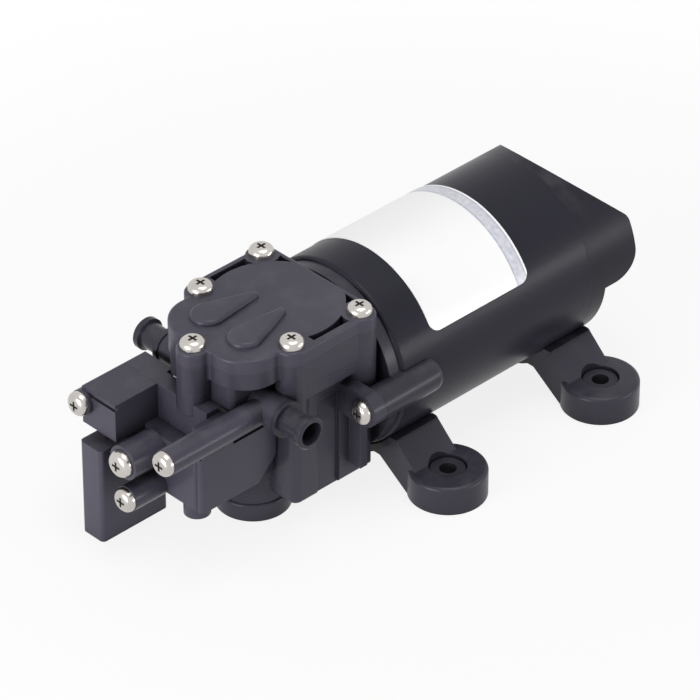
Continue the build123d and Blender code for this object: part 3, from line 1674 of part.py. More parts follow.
pressure_diaphragm.part.label = "pressure_diaphragm"
export_step(pressure_diaphragm.part, "parts/pressure_diaphragm.step")

with BuildPart() as pressure_ring:
    with BuildSketch(across(head_x + seat_front + pressure_disc_thickness)):
        with Locations((spring_tube_y, spring_tube_z - overrun)):
            Circle(pressure_disc_radius)
            Circle(ring_inner_radius, mode=Mode.SUBTRACT)
    extrude(amount=box_room_front - seat_front - pressure_disc_thickness)

pressure_ring.part.label = "pressure_ring"
export_step(pressure_ring.part, "parts/pressure_ring.step")

# Adjusting screw: sets the spring's load, and is turned at the tube's mouth
adjuster_end = -44.5
adjuster_head_radius = 3.7
adjuster_head_height = 2.4
adjuster_radius = spring_bore - running_gap

with BuildPart() as adjusting_screw:
    with BuildSketch(across(head_x + switch_front - seat_gap)):
        with Locations((spring_tube_y, spring_tube_z)):
            Circle(adjuster_head_radius)
    extrude(amount=-adjuster_head_height)
    fillet(adjusting_screw.edges().group_by(Axis.X)[0], adjuster_head_height * crown_share)
    with BuildSketch(across(head_x + switch_front - seat_gap)):
        with Locations((spring_tube_y, spring_tube_z)):
            Circle(adjuster_radius)
    extrude(amount=adjuster_end - switch_front + seat_gap)
    with BuildSketch(across(head_x + switch_front - seat_gap - adjuster_head_height)):
        with Locations((spring_tube_y, spring_tube_z)):
            Rectangle(cross_length, cross_width)
            Rectangle(cross_width, cross_length)
    extrude(amount=cross_depth, mode=Mode.SUBTRACT)

adjusting_screw.part.label = "adjusting_screw"
export_step(adjusting_screw.part, "parts/adjusting_screw.step")

# Pressure spring: between the adjusting screw and the plunger's collar
pressure_spring_wire = 0.35
pressure_spring_radius = 2.5
pressure_spring_turns = 3

with BuildPart() as pressure_spring:
    with Locations(Location((head_x + adjuster_end + seat_gap, spring_tube_y, spring_tube_z), (0, 90, 0))):
        add(
            coil_spring(
                collar_front - adjuster_end - 2 * seat_gap,
                pressure_spring_turns,
                pressure_spring_radius,
                pressure_spring_wire,
            )
        )

pressure_spring.part.label = "pressure_spring"
export_step(pressure_spring.part, "parts/pressure_spring.step")

# Switch button: from the cone through the tube's wall to the blade
button_tip = 7.9
button_flange_radius = 1.7
button_flange_start = 13.5
button_end = 14.5

with BuildPart() as switch_button:
    with BuildSketch(head_side(button_tip)):
        with Locations((button_x, button_z)):
            Circle(button_radius)
    extrude(amount=-(button_end - button_tip))
    fillet(switch_button.edges().group_by(Axis.Y)[0], button_radius / 2)
    with BuildSketch(head_side(button_flange_start)):
        with Locations((button_x, button_z)):
            Circle(button_flange_radius)
            Rectangle(
                2 * button_flange_radius,
                button_flange_radius,
                align=(Align.CENTER, Align.MIN),
                mode=Mode.SUBTRACT,
            )
            Circle(button_radius)
    extrude(amount=-(button_end - button_flange_start))

switch_button.part.label = "switch_button"
export_step(switch_button.part, "parts/switch_button.step")

# Switch screws: one in the long tube, one in the low tube and one in the cover's ear
low_screw_end = crank_front - overrun

with BuildPart() as switch_screws:
    for x, y, z, end in (
        (long_tube_front, tube_y, tube_z, lug_front + lug_hole_depth - seat_gap),
        (switch_front, low_screw_y, low_screw_z, low_screw_end),
        (ear_front, ear_screw_y, ear_screw_z, block_wing_rear - 2 * overrun),
    ):
        with Locations(facing_front(head_x + x, y, z)):
            add(pan_screw(end - x))

switch_screws.part.label = "switch_screws"
export_step(switch_screws.part, "parts/switch_screws.step")
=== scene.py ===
# %% [markdown]
# Water pump, dressed
#
# The pump is a small electric diaphragm pump: a black motor can on two saddle feet, a square
# pump head in front of it with a lid held by five screws, two hose barbs, and a pressure
# switch built up from small moulded boxes and screw tubes on its front.
#
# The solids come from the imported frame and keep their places. This script gives each one the
# surface it has on a real pump, adds the pieces that are easier to make as meshes, and then
# sets up a light studio round it. All lengths are in metres.

# %% Load the frame
import json
import math

import bmesh
import bpy
from mathutils import Matrix, Vector


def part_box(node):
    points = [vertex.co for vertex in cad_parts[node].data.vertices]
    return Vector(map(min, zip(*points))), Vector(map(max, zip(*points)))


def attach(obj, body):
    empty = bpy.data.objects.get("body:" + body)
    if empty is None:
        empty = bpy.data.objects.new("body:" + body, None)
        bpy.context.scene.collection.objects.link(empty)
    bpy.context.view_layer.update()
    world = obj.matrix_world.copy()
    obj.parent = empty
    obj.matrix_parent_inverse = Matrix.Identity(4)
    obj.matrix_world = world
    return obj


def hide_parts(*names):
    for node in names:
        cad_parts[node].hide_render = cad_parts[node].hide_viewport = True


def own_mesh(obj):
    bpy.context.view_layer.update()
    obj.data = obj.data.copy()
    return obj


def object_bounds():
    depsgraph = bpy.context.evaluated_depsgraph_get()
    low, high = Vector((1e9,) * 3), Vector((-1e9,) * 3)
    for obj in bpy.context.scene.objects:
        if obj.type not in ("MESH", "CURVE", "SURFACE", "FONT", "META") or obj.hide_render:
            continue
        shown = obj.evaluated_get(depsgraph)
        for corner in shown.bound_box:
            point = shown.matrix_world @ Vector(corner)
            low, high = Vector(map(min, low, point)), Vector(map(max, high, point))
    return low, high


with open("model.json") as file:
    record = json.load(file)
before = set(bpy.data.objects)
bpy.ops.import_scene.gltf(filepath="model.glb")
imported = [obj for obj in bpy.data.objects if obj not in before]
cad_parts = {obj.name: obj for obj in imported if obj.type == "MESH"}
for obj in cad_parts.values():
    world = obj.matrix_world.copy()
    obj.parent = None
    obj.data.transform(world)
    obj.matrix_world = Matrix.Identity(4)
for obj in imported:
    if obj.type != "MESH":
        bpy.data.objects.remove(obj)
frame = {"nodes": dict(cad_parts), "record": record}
cad_low, cad_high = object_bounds()
MM = 0.001
node_slot = {row["node"]: row["material_slot"] for row in frame["record"]["subparts"]}
size_words = " x ".join(f"{(high - low) / MM:.0f}" for low, high in zip(cad_low, cad_high))
print("solids:", len(frame["nodes"]), "overall mm:", size_words)

# %% [markdown]
# The camera
#
# The pump is seen from its front left corner and from well above, with a long lens, so its
# far edges hardly shrink. The camera's three axes and its place were found by laying the
# corners of the solids over the same corners in the picture. A matrix keeps them exactly,
# where three angles would hide which way each one turns.

# %% Camera
FRAME_PIXELS = 700
FOCAL_PIXELS = 5248.3
SENSOR_MM = 36.0
CLIP_NEAR = 0.05
CLIP_FAR = 20.0
view_right = Vector((0.7199, -0.69408, 0.0))
view_up = Vector((0.40054, 0.41544, 0.8167))
view_back = Vector((-0.56685, -0.58794, 0.57708))
view_place = Vector((-788.7, -785.35, 800.2)) * MM

lens = bpy.data.cameras.new("studio_camera")
lens.sensor_width = SENSOR_MM
lens.lens = FOCAL_PIXELS * SENSOR_MM / FRAME_PIXELS
lens.clip_start = CLIP_NEAR
lens.clip_end = CLIP_FAR
camera = bpy.data.objects.new("studio_camera", lens)
turned = Matrix((view_right, view_up, view_back)).transposed()
camera.matrix_world = Matrix.Translation(view_place) @ turned.to_4x4()
bpy.context.scene.collection.objects.link(camera)
bpy.context.scene.camera = camera
print("lens mm:", round(lens.lens, 1))

# %% [markdown]
# Sums that become nodes
#
# A finish is a small sum over the surface: some noise, a mask, a mix of two colours. Written
# as nodes by hand, each plus sign takes four lines. Here a Field wraps one socket, and the
# ordinary signs on it add the Math nodes, so a formula reads as a formula. Every other node
# comes from one method, which sets the node's own settings first and its sockets after that.

# %% Field
class Field:
    """One output of a node, ready for ordinary sums."""

    def __init__(self, finish, socket):
        self.finish = finish
        self.socket = socket

    def sum(self, operation, first, second, clamp=False):
        return self.finish.node(
            "ShaderNodeMath", {0: first, 1: second}, operation=operation, use_clamp=clamp
        )

    def __add__(self, other):
        return self.sum("ADD", self, other)

    def __radd__(self, other):
        return self.sum("ADD", other, self)

    def __sub__(self, other):
        return self.sum("SUBTRACT", self, other)

    def __rsub__(self, other):
        return self.sum("SUBTRACT", other, self)

    def __mul__(self, other):
        return self.sum("MULTIPLY", self, other)

    def __rmul__(self, other):
        return self.sum("MULTIPLY", other, self)

    def held(self):
        """The field kept between 0 and 1."""
        return self.sum("ADD", self, 0.0, clamp=True)


print("sums ready: + - *")

# %% [markdown]
# A finish is a material with a few habits
#
# Each finish below asks for the same things: noise of a certain size, a smooth step, a mix of
# two colours, softened edges, a bump. They are methods here, so that a finish names what it
# wants and not which nodes do it. All patterns read Object coordinates. The pieces stand at
# the origin, so these are real places in metres, and a size in a finish is a size on the pump.

# %% Finish
finishes = {}


class Finish:
    """A material under construction."""

    def __init__(self, name):
        self.material = bpy.data.materials.new(name)
        self.material.use_nodes = True
        self.tree = self.material.node_tree
        self.shader = self.tree.nodes["Principled BSDF"]
        self.place = self.node("ShaderNodeTexCoord", output="Object")
        finishes[name] = self.material

    def node(self, kind, sockets=None, output=0, **settings):
        made = self.tree.nodes.new(kind)
        for name, value in settings.items():
            setattr(made, name, value)
        for key, value in (sockets or {}).items():
            self.feed(made.inputs[key], value)
        return Field(self, made.outputs[output])

    def feed(self, socket, value):
        if isinstance(value, Field):
            self.tree.links.new(value.socket, socket)
        else:
            socket.default_value = value

    def set(self, **values):
        """Feeds the shader's own sockets: base_color goes to Base Color, and so on."""
        for name, value in values.items():
            title = name.replace("_", " ").title().replace("Ior", "IOR")
            self.feed(self.shader.inputs[title], value)

    def noise(self, per_metre, detail=2.0, stretch=(1.0, 1.0, 1.0)):
        spread = self.node("ShaderNodeMapping", {"Vector": self.place, "Scale": stretch})
        return self.node(
            "ShaderNodeTexNoise", {"Vector": spread, "Scale": per_metre, "Detail": detail}
        )

    def step(self, field, low, high):
        """0 below low, 1 above high, and a smooth rise between them."""
        return self.node(
            "ShaderNodeMapRange",
            {"Value": field, "From Min": low, "From Max": high},
            interpolation_type="SMOOTHSTEP",
        )

    def mix(self, share, first, second):
        """The first colour where share is 0, the second where it is 1."""
        return self.node(
            "ShaderNodeMix", {0: share, 6: first, 7: second}, output=2, data_type="RGBA"
        )

    def vector_sum(self, operation, first, second=(0.0, 0.0, 0.0), output="Vector"):
        return self.node(
            "ShaderNodeVectorMath", {0: first, 1: second}, output=output, operation=operation
        )

    def along_x(self):
        return self.node("ShaderNodeSeparateXYZ", {0: self.place}, output="X")

    def facing(self):
        """The direction that the surface faces."""
        return self.node("ShaderNodeNewGeometry", output="Normal")

    def rounded(self, radius):
        """The surface's direction as if each sharp edge had this radius."""
        return self.node("ShaderNodeBevel", {"Radius": radius}, samples=4)

    def edges(self, round_normal, low, high):
        """A mask that is 1 on sharp edges and 0 on open faces."""
        along = self.vector_sum("DOT_PRODUCT", round_normal, self.facing(), output="Value")
        return self.step(1.0 - along, low, high)

    def openness(self, reach, only_local):
        """1 where nothing stands within reach of the surface, less in a hollow."""
        return self.node(
            "ShaderNodeAmbientOcclusion",
            {"Distance": reach},
            output="AO",
            samples=6,
            only_local=only_local,
        )

    def bump(self, height, depth, over=None):
        sockets = {"Height": height, "Distance": depth, "Strength": 1.0}
        if over is not None:
            sockets["Normal"] = over
        return self.node("ShaderNodeBump", sockets)


def grey(level, blue=1.0):
    return (level, level, level * blue, 1.0)


def scaled(colour, factor):
    return tuple(min(1.0, part * factor) for part in colour[:3]) + (1.0,)


print("finish tools ready")

# %% [markdown]
# From a bmesh to an object
#
# A bmesh is a mesh on the workbench: operators shape it, but the scene can't show it. It is
# copied into a mesh, and the mesh gets an object. The object stays at the origin, unturned
# and unscaled, because the shape already has its place in it, as the solids do.

# %% Objects from meshes
def made_object(name, shape):
    """The finished bmesh as an object in the scene."""
    mesh = bpy.data.meshes.new(name)
    shape.to_mesh(mesh)
    shape.free()
    made = bpy.data.objects.new(name, mesh)
    bpy.context.scene.collection.objects.link(made)
    return made


def shade_smooth(thing):
    for face in thing.data.polygons:
        face.use_smooth = True


print("mesh tools ready")

# %% [markdown]
# The studio
#
# The pump stands on a pale floor in a white room. The floor gives back light like paper. What
# the camera or a glossy surface sees of it is partly lifted to white, and wholly so far from
# the pump. It then runs into the room without an edge and still holds the shadow. The room is
# white to those same rays and dimmer to all others, whose light would wash the shadow out.

# %% Floor
FLOOR_SIZE = 12.0
FLOOR_DROP = 0.02 * MM
FLOOR_LEVEL = 0.82
FLOOR_MOTTLE = 1.02
FLOOR_LIFT = 0.84
FADE_START = 0.10
FADE_END = 0.24

floor_shape = bmesh.new()
bmesh.ops.create_grid(floor_shape, x_segments=1, y_segments=1, size=FLOOR_SIZE / 2)
bmesh.ops.translate(floor_shape, verts=floor_shape.verts, vec=(0, 0, cad_low.z - FLOOR_DROP))
floor = made_object("floor", floor_shape)

paper = Finish("floor_paper")
paper_tone = paper.noise(per_metre=30.0, detail=3.0)
paper.set(
    base_color=paper.mix(paper_tone, grey(FLOOR_LEVEL), grey(FLOOR_LEVEL * FLOOR_MOTTLE)),
    roughness=0.9,
    specular_ior_level=0.2,
)
glow = paper.node("ShaderNodeEmission", {"Color": grey(1.0), "Strength": 1.0})
distance = paper.vector_sum("LENGTH", paper.place, output="Value")
lift = FLOOR_LIFT + (1.0 - FLOOR_LIFT) * paper.step(distance, FADE_START, FADE_END)
by_camera = paper.node("ShaderNodeLightPath", output="Is Camera Ray")
by_gloss = paper.node("ShaderNodeLightPath", output="Is Glossy Ray")
share = lift * (by_camera + by_gloss).held()
lit_paper = Field(paper, paper.shader.outputs[0])
both = paper.node("ShaderNodeMixShader", {0: share, 1: lit_paper, 2: glow})
paper.feed(paper.tree.nodes["Material Output"].inputs["Surface"], both)
floor.data.materials.append(paper.material)
print("floor m:", FLOOR_SIZE)

# %% Room
ROOM_LEVEL = 0.42

room = bpy.data.worlds.new("white_room")
room.use_nodes = True
bpy.context.scene.world = room
nodes, links = room.node_tree.nodes, room.node_tree.links
background = nodes["Background"]
background.inputs["Color"].default_value = grey(1.0)
path = nodes.new("ShaderNodeLightPath")
shown = nodes.new("ShaderNodeMath")
shown.operation = "MAXIMUM"
level = nodes.new("ShaderNodeMapRange")
level.inputs["To Min"].default_value = ROOM_LEVEL
level.inputs["To Max"].default_value = 1.0
links.new(path.outputs["Is Camera Ray"], shown.inputs[0])
links.new(path.outputs["Is Glossy Ray"], shown.inputs[1])
links.new(shown.outputs[0], level.inputs["Value"])
links.new(level.outputs["Result"], background.inputs["Strength"])
bpy.context.scene.view_settings.view_transform = "Standard"
print("room level for diffuse light:", ROOM_LEVEL)

# %% [markdown]
# Three soft lamps
#
# Black plastic shows its shape by what it mirrors, so each lamp is a broad flat panel that
# gives a soft sheen and not a bright spot. One hangs overhead for the lid and the deck, one
# stands before the pump head for the faces turned that way, and a low strip lights the can's
# near side and the feet. They are kept weak, so that the white label doesn't clip.

# %% Lamps
LAMP_RANGE = 0.9
middle = (cad_low + cad_high) / 2


def soft_lamp(name, direction, width, height, watts):
    """A flat lamp that looks at the pump's middle from the given direction."""
    light = bpy.data.lights.new(name, "AREA")
    light.shape = "RECTANGLE"
    light.size = width
    light.size_y = height
    light.energy = watts
    lamp = bpy.data.objects.new(name, light)
    aim = Vector(direction).normalized()
    facing_pump = aim.to_track_quat("Z", "Y").to_matrix().to_4x4()
    lamp.matrix_world = Matrix.Translation(middle + aim * LAMP_RANGE) @ facing_pump
    bpy.context.scene.collection.objects.link(lamp)


soft_lamp("top_lamp", (0.05, -0.16, 1.0), width=0.50, height=0.50, watts=3.5)
soft_lamp("left_lamp", (-1.0, -0.05, 0.20), width=0.50, height=0.45, watts=6.2)
soft_lamp("right_lamp", (0.57, -0.80, 0.09), width=0.60, height=0.14, watts=2.2)

# %% [markdown]
# Smooth faces on the solids
#
# The solids arrive as loose flat triangles, which would show the can as a ring of flats. Two
# modifiers mend that without touching a point: Weld joins the triangles again, and Edge
# Split parts them only where the angle is sharp. Smooth shading then rounds the can and
# leaves the moulded edges crisp.

# %% Smooth the solids
WELD_DISTANCE = 0.002 * MM
CREASE_ANGLE = math.radians(28.0)
for node in frame["nodes"].values():
    weld = node.modifiers.new("join_triangles", "WELD")
    weld.merge_threshold = WELD_DISTANCE
    split = node.modifiers.new("keep_creases", "EDGE_SPLIT")
    split.split_angle = CREASE_ANGLE
    shade_smooth(node)
print("smoothed", len(frame["nodes"]), "solids")

# %% [markdown]
# Black moulded plastic
#
# The head, the feet and the switch are moulded in a charcoal nylon. The mould leaves a fine
# satin grain, and the melt leaves broad, faint clouds where it met. Edges are a little
# rounded and painted paler in patches, partly rubbed wear and partly a painted highlight.
# Dust greys the faces that look up, and the hollows are painted darker, as painted shade
# where little light reaches. The bevel node gives the rounded edges their line of light,
# which is what shows where one black face ends. Rubber, carbon and ferrite differ only in
# grain and sheen.

# %% Moulded plastic
GRAIN_DEPTH = 0.018 * MM
HOLLOW_REACH = 12.0 * MM
# Painted shade: how far the base colour darkens in hollows.
HOLLOW_SHADE_SHARE = 0.8
# How much the paler edges count, partly wear and partly a painted highlight.
RUB_AND_HIGHLIGHT_SHARE = 0.55
DUST_SHARE = 0.16
DUST_GREY = grey(0.16, blue=1.05)


def moulded(name, colour, roughness, grain=1900.0, edge=0.32 * MM, rub_and_highlight=1.9, shine=0.20):
    """grain is in bumps per metre, edge a radius, rub_and_highlight how much paler an edge is
    painted, partly for wear and partly as a painted highlight.
    """
    finish = Finish(name)
    clouds = finish.noise(per_metre=38.0, detail=3.0)
    specks = finish.noise(per_metre=grain)
    smears = finish.noise(per_metre=160.0, detail=4.0, stretch=(1.0, 1.0, 0.35))
    round_normal = finish.rounded(edge)
    # Edges are painted paler in patches, partly rubbed wear and partly a painted highlight.
    rubbed_and_highlit = finish.edges(round_normal, low=0.02, high=0.35) * finish.step(smears, 0.35, 0.6)
    lie = finish.node("ShaderNodeSeparateXYZ", {0: finish.facing()}, output="Z")
    dust = finish.step(lie, 0.55, 1.0) * finish.step(smears, 0.42, 0.75)
    # Painted shade: the base colour darkens where little open room is within reach.
    hollow = 1.0 - finish.step(finish.openness(HOLLOW_REACH, only_local=False), 0.15, 0.75)
    open_base = finish.mix(clouds, scaled(colour, 0.82), scaled(colour, 1.2))
    base = finish.mix(hollow * HOLLOW_SHADE_SHARE, open_base, scaled(colour, 0.2))
    worn_and_highlit = finish.mix(rubbed_and_highlit * RUB_AND_HIGHLIGHT_SHARE, base, scaled(colour, rub_and_highlight))
    finish.set(
        base_color=finish.mix(dust * DUST_SHARE, worn_and_highlit, DUST_GREY),
        roughness=roughness + (smears - 0.5) * 0.16 + rubbed_and_highlit * 0.08 + dust * 0.1,
        normal=finish.bump(specks, GRAIN_DEPTH, round_normal),
        specular_ior_level=shine,
    )


def black(level):
    """A black with a little violet in it, as the moulded pieces have."""
    return (level, level * 0.93, level * 1.30, 1.0)


moulded("head_plastic", black(0.042), 0.30)
moulded("cover_plastic", black(0.052), 0.34)
moulded("flange_plastic", black(0.030), 0.30)
moulded("cap_plastic", black(0.020), 0.34, shine=0.12)
moulded("saddle_plastic", black(0.034), 0.34)
moulded("barb_plastic", black(0.028), 0.20)
moulded("switch_plastic", black(0.052), 0.27)
moulded("panel_plastic", black(0.056), 0.34)
moulded("case_plastic", black(0.060), 0.36)
print("finishes so far:", len(finishes))

# %% Inner plastics, rubbers, carbon and ferrite
THIN_EDGE = 0.1 * MM
moulded("button_plastic", (0.62, 0.60, 0.54, 1.0), 0.45, rub_and_highlight=1.05)
moulded("rod_plastic", (0.45, 0.43, 0.38, 1.0), 0.50, rub_and_highlight=1.05)
moulded("grommet_rubber", black(0.030), 0.55, grain=900.0, rub_and_highlight=1.3)
moulded("seal_rubber", grey(0.022), 0.55, grain=1200.0, edge=THIN_EDGE, rub_and_highlight=1.2)
moulded("diaphragm_rubber", grey(0.040), 0.60, grain=800.0, rub_and_highlight=1.2)
moulded("valve_rubber", (0.10, 0.09, 0.08, 1.0), 0.58, grain=900.0, edge=THIN_EDGE, rub_and_highlight=1.2)
moulded("brush_carbon", grey(0.025), 0.70, grain=1500.0, edge=THIN_EDGE)
moulded("magnet_ferrite", grey(0.045), 0.66, grain=700.0, rub_and_highlight=1.6)
print("finishes so far:", len(finishes))

# %% [markdown]
# Painted steel can
#
# The motor's can is rolled steel under satin black paint. Spray leaves a slight orange peel,
# a soft wave a couple of millimetres long, and the coat is a little thinner and rougher along
# the rims, whose colour is painted paler as a painted highlight. A very thin coat over the
# base gives the can its cleaner highlight.

# %% Can paint
PEEL_DEPTH = 0.03 * MM
PAINT_DARK = (0.015, 0.0145, 0.022, 1.0)
PAINT_LIGHT = (0.023, 0.022, 0.033, 1.0)
# Paler rim colour, a painted highlight.
PAINT_RIM = black(0.06)

can = Finish("can_paint")
peel = can.noise(per_metre=520.0)
drift = can.noise(per_metre=26.0, stretch=(0.4, 1.0, 1.0))
fine = can.noise(per_metre=2600.0, detail=1.0)
can_round = can.rounded(0.4 * MM)
# Rims: rougher paint, and the colour painted paler as a painted highlight.
rim = can.edges(can_round, low=0.02, high=0.4)
can.set(
    base_color=can.mix(rim * 0.5, can.mix(drift, PAINT_DARK, PAINT_LIGHT), PAINT_RIM),
    roughness=0.34 + (drift - 0.5) * 0.12 + rim * 0.1,
    coat_weight=0.03 + (fine - 0.5) * 0.04,
    coat_roughness=0.22,
    specular_ior_level=0.12,
    normal=can.bump(peel + fine * 0.25, PEEL_DEPTH, can_round),
)
print("can paint made")

# %% [markdown]
# White label
#
# The label is a white gloss film wrapped round the top of the can, left bare here. A plain
# grey band runs along its rear edge. The band is a mask on the distance along the can, so
# it follows the film round the curve without any picture. A second mask makes the band's two
# borders a little darker than its middle.

# %% Label film
BAND_WIDTH = 3.8 * MM
BAND_INSET = 0.6 * MM
BORDER_WIDTH = 0.45 * MM
SOFT_EDGE = 0.15 * MM
BAND_GREY = (0.40, 0.41, 0.50, 1.0)

film = Finish("label_film")
along_can = film.along_x()
film_low, film_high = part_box("motor_label")
band_end = film_high.x - BAND_INSET
band_start = band_end - BAND_WIDTH


def past(line):
    """A mask that is 0 before this line across the can and 1 after it."""
    return film.step(along_can, line - SOFT_EDGE, line + SOFT_EDGE)


band = past(band_start) * (1.0 - past(band_end))
borders = band * (1.0 - past(band_start + BORDER_WIDTH) + past(band_end - BORDER_WIDTH))
mottle = film.noise(per_metre=900.0, detail=3.0)
sheet_tone = film.noise(per_metre=60.0, detail=3.0)
print_share = (band * (0.62 + (mottle - 0.5) * 0.9) + borders * 0.3).held()
film.set(
    base_color=film.mix(print_share, film.mix(sheet_tone, grey(0.88), grey(0.92)), BAND_GREY),
    roughness=0.30 + (sheet_tone - 0.5) * 0.12,
    normal=film.bump(film.noise(per_metre=240.0), 0.02 * MM, film.rounded(THIN_EDGE)),
)
print("label band mm:", round(band_start / MM, 1), "to", round(band_end / MM, 1))

# %% [markdown]
# Zinc-plated steel and the other metals
#
# The screws are bright zinc. Their heads are pressed and tumbled, so they are smooth with
# small dents and hairlines, a little yellow where the plating is thick. The cross recess
# stays dark, because hardly any light gets out of it again. An occlusion node finds such
# hollows, and the colour there is painted a dull grey as painted shade. Edges are painted
# brighter, partly rubbed wear and partly a painted highlight. The metals inside the pump are
# made the same way, with their own colour, polish and direction of the hairlines.

# %% Metals
SCRATCH_DEPTH = 0.012 * MM
SCREW_HOLLOW = 2.2 * MM


def metal(name, colour, roughness, lines=(1.0, 1.0, 1.0), marks=900.0, hollow=1.1 * MM):
    """lines stretches the hairlines, marks is how many fit in a metre, hollow a reach."""
    finish = Finish(name)
    patches = finish.noise(per_metre=220.0, detail=3.0)
    hairs = finish.noise(per_metre=marks, detail=3.0, stretch=lines)
    round_normal = finish.rounded(0.12 * MM)
    # Edges are painted brighter, partly rubbed wear and partly a painted highlight.
    bright = finish.edges(round_normal, low=0.02, high=0.4)
    # Painted shade: in the recess the colour goes to a dull grey.
    recess_shade = (1.0 - finish.step(finish.openness(hollow, only_local=True), 0.3, 0.9)) * 0.8
    base = finish.mix(patches, scaled(colour, 0.86), scaled(colour, 1.1))
    rubbed_and_highlit = finish.mix(bright * 0.6, base, scaled(colour, 1.3))
    finish.set(
        base_color=finish.mix(recess_shade, rubbed_and_highlit, scaled(colour, 0.22)),
        metallic=1.0 - recess_shade * 0.3,
        roughness=roughness + (hairs - 0.5) * 0.22 + recess_shade * 0.25,
        normal=finish.bump(hairs, SCRATCH_DEPTH, round_normal),
    )


metal("screw_steel", (0.56, 0.53, 0.50, 1.0), 0.24, hollow=SCREW_HOLLOW)
metal("adjuster_steel", (0.60, 0.57, 0.54, 1.0), 0.22, hollow=SCREW_HOLLOW)
metal("shaft_steel", (0.66, 0.66, 0.68, 1.0), 0.20, lines=(6.0, 1.0, 1.0))
metal("core_steel", (0.36, 0.37, 0.39, 1.0), 0.42, lines=(8.0, 1.0, 1.0))
metal("terminal_brass", (0.72, 0.55, 0.28, 1.0), 0.30)
metal("bush_bronze", (0.48, 0.33, 0.17, 1.0), 0.48, marks=1600.0)
metal("spring_steel", (0.55, 0.55, 0.57, 1.0), 0.26)
metal("bearing_steel", (0.72, 0.72, 0.74, 1.0), 0.14)
metal("eccentric_alloy", (0.60, 0.60, 0.62, 1.0), 0.40, marks=1400.0)
print("finishes so far:", len(finishes))

# %% [markdown]
# Enamelled copper wire
#
# Winding wire is copper under clear enamel, a little redder and glossier than bare metal. In
# a bundle the wires lie side by side round the shaft, so the lines of the bump follow the
# distance from the shaft and the distance along it. The gaps between the wires are painted
# a darker copper, as painted shade. A little noise keeps them from looking machined.

# %% Copper wire
WIRE_WIDTH = 0.45 * MM
WIRE_RELIEF = 0.06 * MM
# Darker copper in the gaps between wires, painted shade.
GAP_SHADE_COPPER = (0.20, 0.06, 0.025, 1.0)
WIRE_COPPER = (0.66, 0.26, 0.11, 1.0)
core_low, core_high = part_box("armature_core")
shaft_middle = (core_low + core_high) / 2

copper = Finish("winding_copper")
sway = copper.noise(per_metre=300.0)
across_shaft = copper.vector_sum("MULTIPLY", copper.place, (0.0, 1.0, 1.0))
shaft_point = (0.0, shaft_middle.y, shaft_middle.z)
from_shaft = copper.vector_sum("DISTANCE", across_shaft, shaft_point, output="Value")
turns_of_wave = (from_shaft + copper.along_x()) * (math.tau / WIRE_WIDTH) + sway * 2.0
wires = copper.node("ShaderNodeMath", {0: turns_of_wave}, operation="SINE")
copper.set(
    base_color=copper.mix(copper.step(wires, -1.0, 0.2), GAP_SHADE_COPPER, WIRE_COPPER),
    metallic=0.75 + (sway - 0.5) * 0.2,
    roughness=0.30 + (sway - 0.5) * 0.2,
    normal=copper.bump(wires, WIRE_RELIEF),
)
print("shaft height mm:", round(shaft_middle.z / MM, 2))

# %% [markdown]
# Brush plate laminate
#
# The brush plate is a brown pressed-cloth laminate. Its two sets of threads are two stretched
# noises laid across each other, which show in the colour and a little in the bump.

# %% Laminate
THREADS_PER_METRE = 700.0
THREAD_DEPTH = 0.03 * MM
RESIN_BROWN = (0.16, 0.08, 0.035, 1.0)
THREAD_BROWN = (0.34, 0.19, 0.09, 1.0)

laminate = Finish("plate_laminate")
warp = laminate.noise(THREADS_PER_METRE, detail=3.0, stretch=(1.0, 0.15, 1.0))
weft = laminate.noise(THREADS_PER_METRE, detail=3.0, stretch=(1.0, 1.0, 0.15))
threads = warp + weft
laminate.set(
    base_color=laminate.mix(threads * 0.5, RESIN_BROWN, THREAD_BROWN),
    roughness=0.5 + (threads - 1.0) * 0.1,
    normal=laminate.bump(threads, THREAD_DEPTH, laminate.rounded(THIN_EDGE)),
)
print("finishes so far:", len(finishes))

# %% [markdown]
# Wire that is wound
#
# Both wound pieces of the pump are one round wire led round a line. A circle stands where the
# wire starts, and the spin operator carries it round the line in small steps while each step
# also moves it along. One such move makes a coil spring, and two that climb and come back
# make a loop of winding. The open ends are filled, so that the wire is a closed body.

# %% Round wire
SHAFT_LINE = Vector((1.0, 0.0, 0.0))


def round_wire(start, radius, sides, centre, moves):
    """A closed wire from start, spun round the line along X through centre.

    Each move is an angle, how far the wire goes along X meanwhile, and a number of steps.
    """
    shape = bmesh.new()
    stand = Matrix.Translation(start) @ Matrix.Rotation(math.radians(90.0), 4, "X")
    bmesh.ops.create_circle(shape, segments=sides, radius=radius, matrix=stand)
    last = shape.verts[:] + shape.edges[:]
    for angle, climb, steps in moves:
        spun = bmesh.ops.spin(
            shape,
            geom=last,
            cent=centre,
            axis=SHAFT_LINE,
            dvec=SHAFT_LINE * (climb / steps),
            angle=angle,
            steps=steps,
        )
        last = spun["geom_last"]
    bmesh.ops.holes_fill(shape, edges=[edge for edge in shape.edges if edge.is_boundary])
    return shape


print("wire tool ready")

# %% [markdown]
# Armature windings
#
# At each end of the rotor's core the copper wire turns over from one slot to another, and the
# ten coils lie over each other like the strands of a basket. Every single wire would cost
# more faces than the whole pump. One coil head is therefore one bundle: a wire that goes part
# of the way round the shaft while it climbs away from the core, and again while it comes
# back. Turned copies make the crown, and the bump of the copper finish draws its wires.

# %% Windings
COIL_COUNT = 10
COIL_SPAN = math.radians(116.0)
BUNDLE_RADIUS = 1.75 * MM
BUNDLE_SIDES = 10
CLIMB_STEPS = 7
ROOT_DEPTH = 1.2 * MM
CROWN_INSET = 1.6 * MM
crown_low, crown_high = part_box("armature_windings")
ring_radius = (crown_high.z - crown_low.z) / 2 - BUNDLE_RADIUS - CROWN_INSET
step_round = Matrix.Rotation(math.tau / COIL_COUNT, 4, SHAFT_LINE)


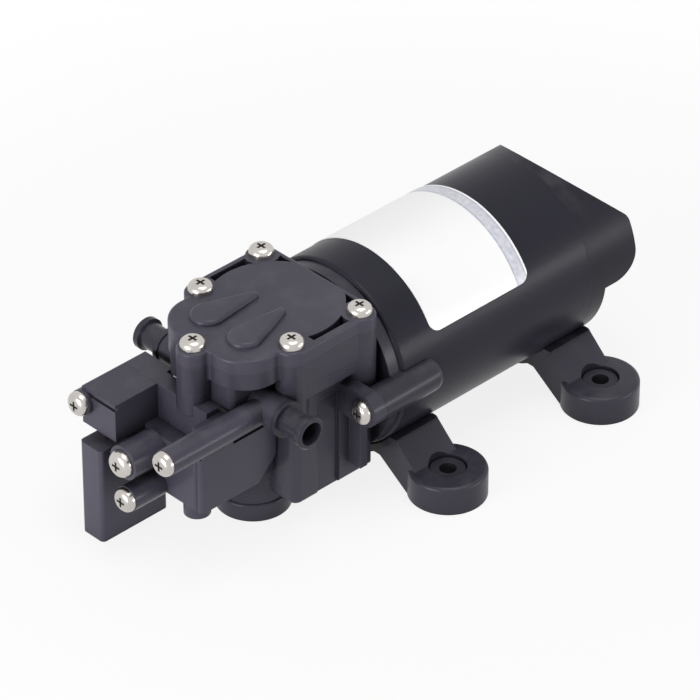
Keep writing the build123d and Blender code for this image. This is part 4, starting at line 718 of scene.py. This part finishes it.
def coil_head(root, tip):
    """One bundle that leaves the core at root, reaches tip along the shaft and comes back."""
    start = Vector((root, shaft_middle.y, shaft_middle.z + ring_radius))
    there = (COIL_SPAN / 2, tip - root, CLIMB_STEPS)
    back = (COIL_SPAN / 2, root - tip, CLIMB_STEPS)
    return round_wire(start, BUNDLE_RADIUS, BUNDLE_SIDES, shaft_middle, [there, back])


windings = bmesh.new()
for root, tip in (
    (core_low.x + ROOT_DEPTH, crown_low.x + BUNDLE_RADIUS),
    (core_high.x - ROOT_DEPTH, crown_high.x - BUNDLE_RADIUS),
):
    head_shape = coil_head(root, tip)
    for turn in range(COIL_COUNT):
        bmesh.ops.rotate(head_shape, cent=shaft_middle, matrix=step_round, verts=head_shape.verts)
        copy = bpy.data.meshes.new("coil_head")
        head_shape.to_mesh(copy)
        windings.from_mesh(copy)
        bpy.data.meshes.remove(copy)
    head_shape.free()
bmesh.ops.recalc_face_normals(windings, faces=windings.faces)
windings_piece = made_object("copper_windings", windings)
shade_smooth(windings_piece)
rounder = windings_piece.modifiers.new("round_wire", "SUBSURF")
rounder.levels = 1
rounder.render_levels = 1
windings_piece.data.materials.append(finishes["winding_copper"])
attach(windings_piece, "rotor")
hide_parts("armature_windings")
print("winding faces:", len(windings_piece.data.polygons))

# %% [markdown]
# Pressure spring
#
# The spring stands between the adjusting screw and the plunger's collar, and gets shorter when
# the water's pressure pushes the plunger forward. A stiff solid would be cut by the collar.
# Here the spring is made again as a mesh, a coil of even pitch over the length of the solid
# it replaces, which doesn't flatten. The plunger's travel is read from the imported record.

# %% Spring shape
SPRING_TURNS = 3
STEPS_PER_TURN = 28
SPRING_SIDES = 10
SPRING_RADIUS = 2.5 * MM
spring_low, spring_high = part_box("pressure_spring")
spring_middle = (spring_low + spring_high) / 2
spring_length = spring_high.x - spring_low.x
spring_wire = (spring_high.y - spring_low.y) / 2 - SPRING_RADIUS
spring_start = Vector(
    (spring_low.x + spring_wire, spring_middle.y, spring_middle.z + SPRING_RADIUS)
)
spring_turns = (
    math.tau * SPRING_TURNS,
    spring_length - 2 * spring_wire,
    SPRING_TURNS * STEPS_PER_TURN,
)
spring = round_wire(spring_start, spring_wire, SPRING_SIDES, spring_middle, [spring_turns])
bmesh.ops.recalc_face_normals(spring, faces=spring.faces)
spring_piece = made_object("coiled_spring", spring)
shade_smooth(spring_piece)
spring_piece.data.materials.append(finishes["spring_steel"])
print("spring mm:", round(spring_length / MM, 1), "wire radius mm:", round(spring_wire / MM, 2))

# %% Spring in the pump
joint_ranges = {row["name"]: row.get("range_m") for row in frame["record"]["behaviour"]["joints"]}
plunger_travel = joint_ranges["plunger_slide"][1]
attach(spring_piece, "frame")
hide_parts("pressure_spring")
1.0 - plunger_travel / spring_length
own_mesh(spring_piece)
print("spring travel mm:", round(plunger_travel / MM, 2))

# %% [markdown]
# Dressing the solids
#
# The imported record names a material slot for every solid. The finishes above carry the same
# names, so one loop dresses the whole pump, and a solid that is added later needs only its
# slot.

# %% Give each solid its finish
for name, node in frame["nodes"].items():
    finish = finishes[node_slot[name]]
    if not node.material_slots:
        node.data.materials.append(finish)
    for place in node.material_slots:
        place.material = finish
print("dressed", len(frame["nodes"]), "solids")
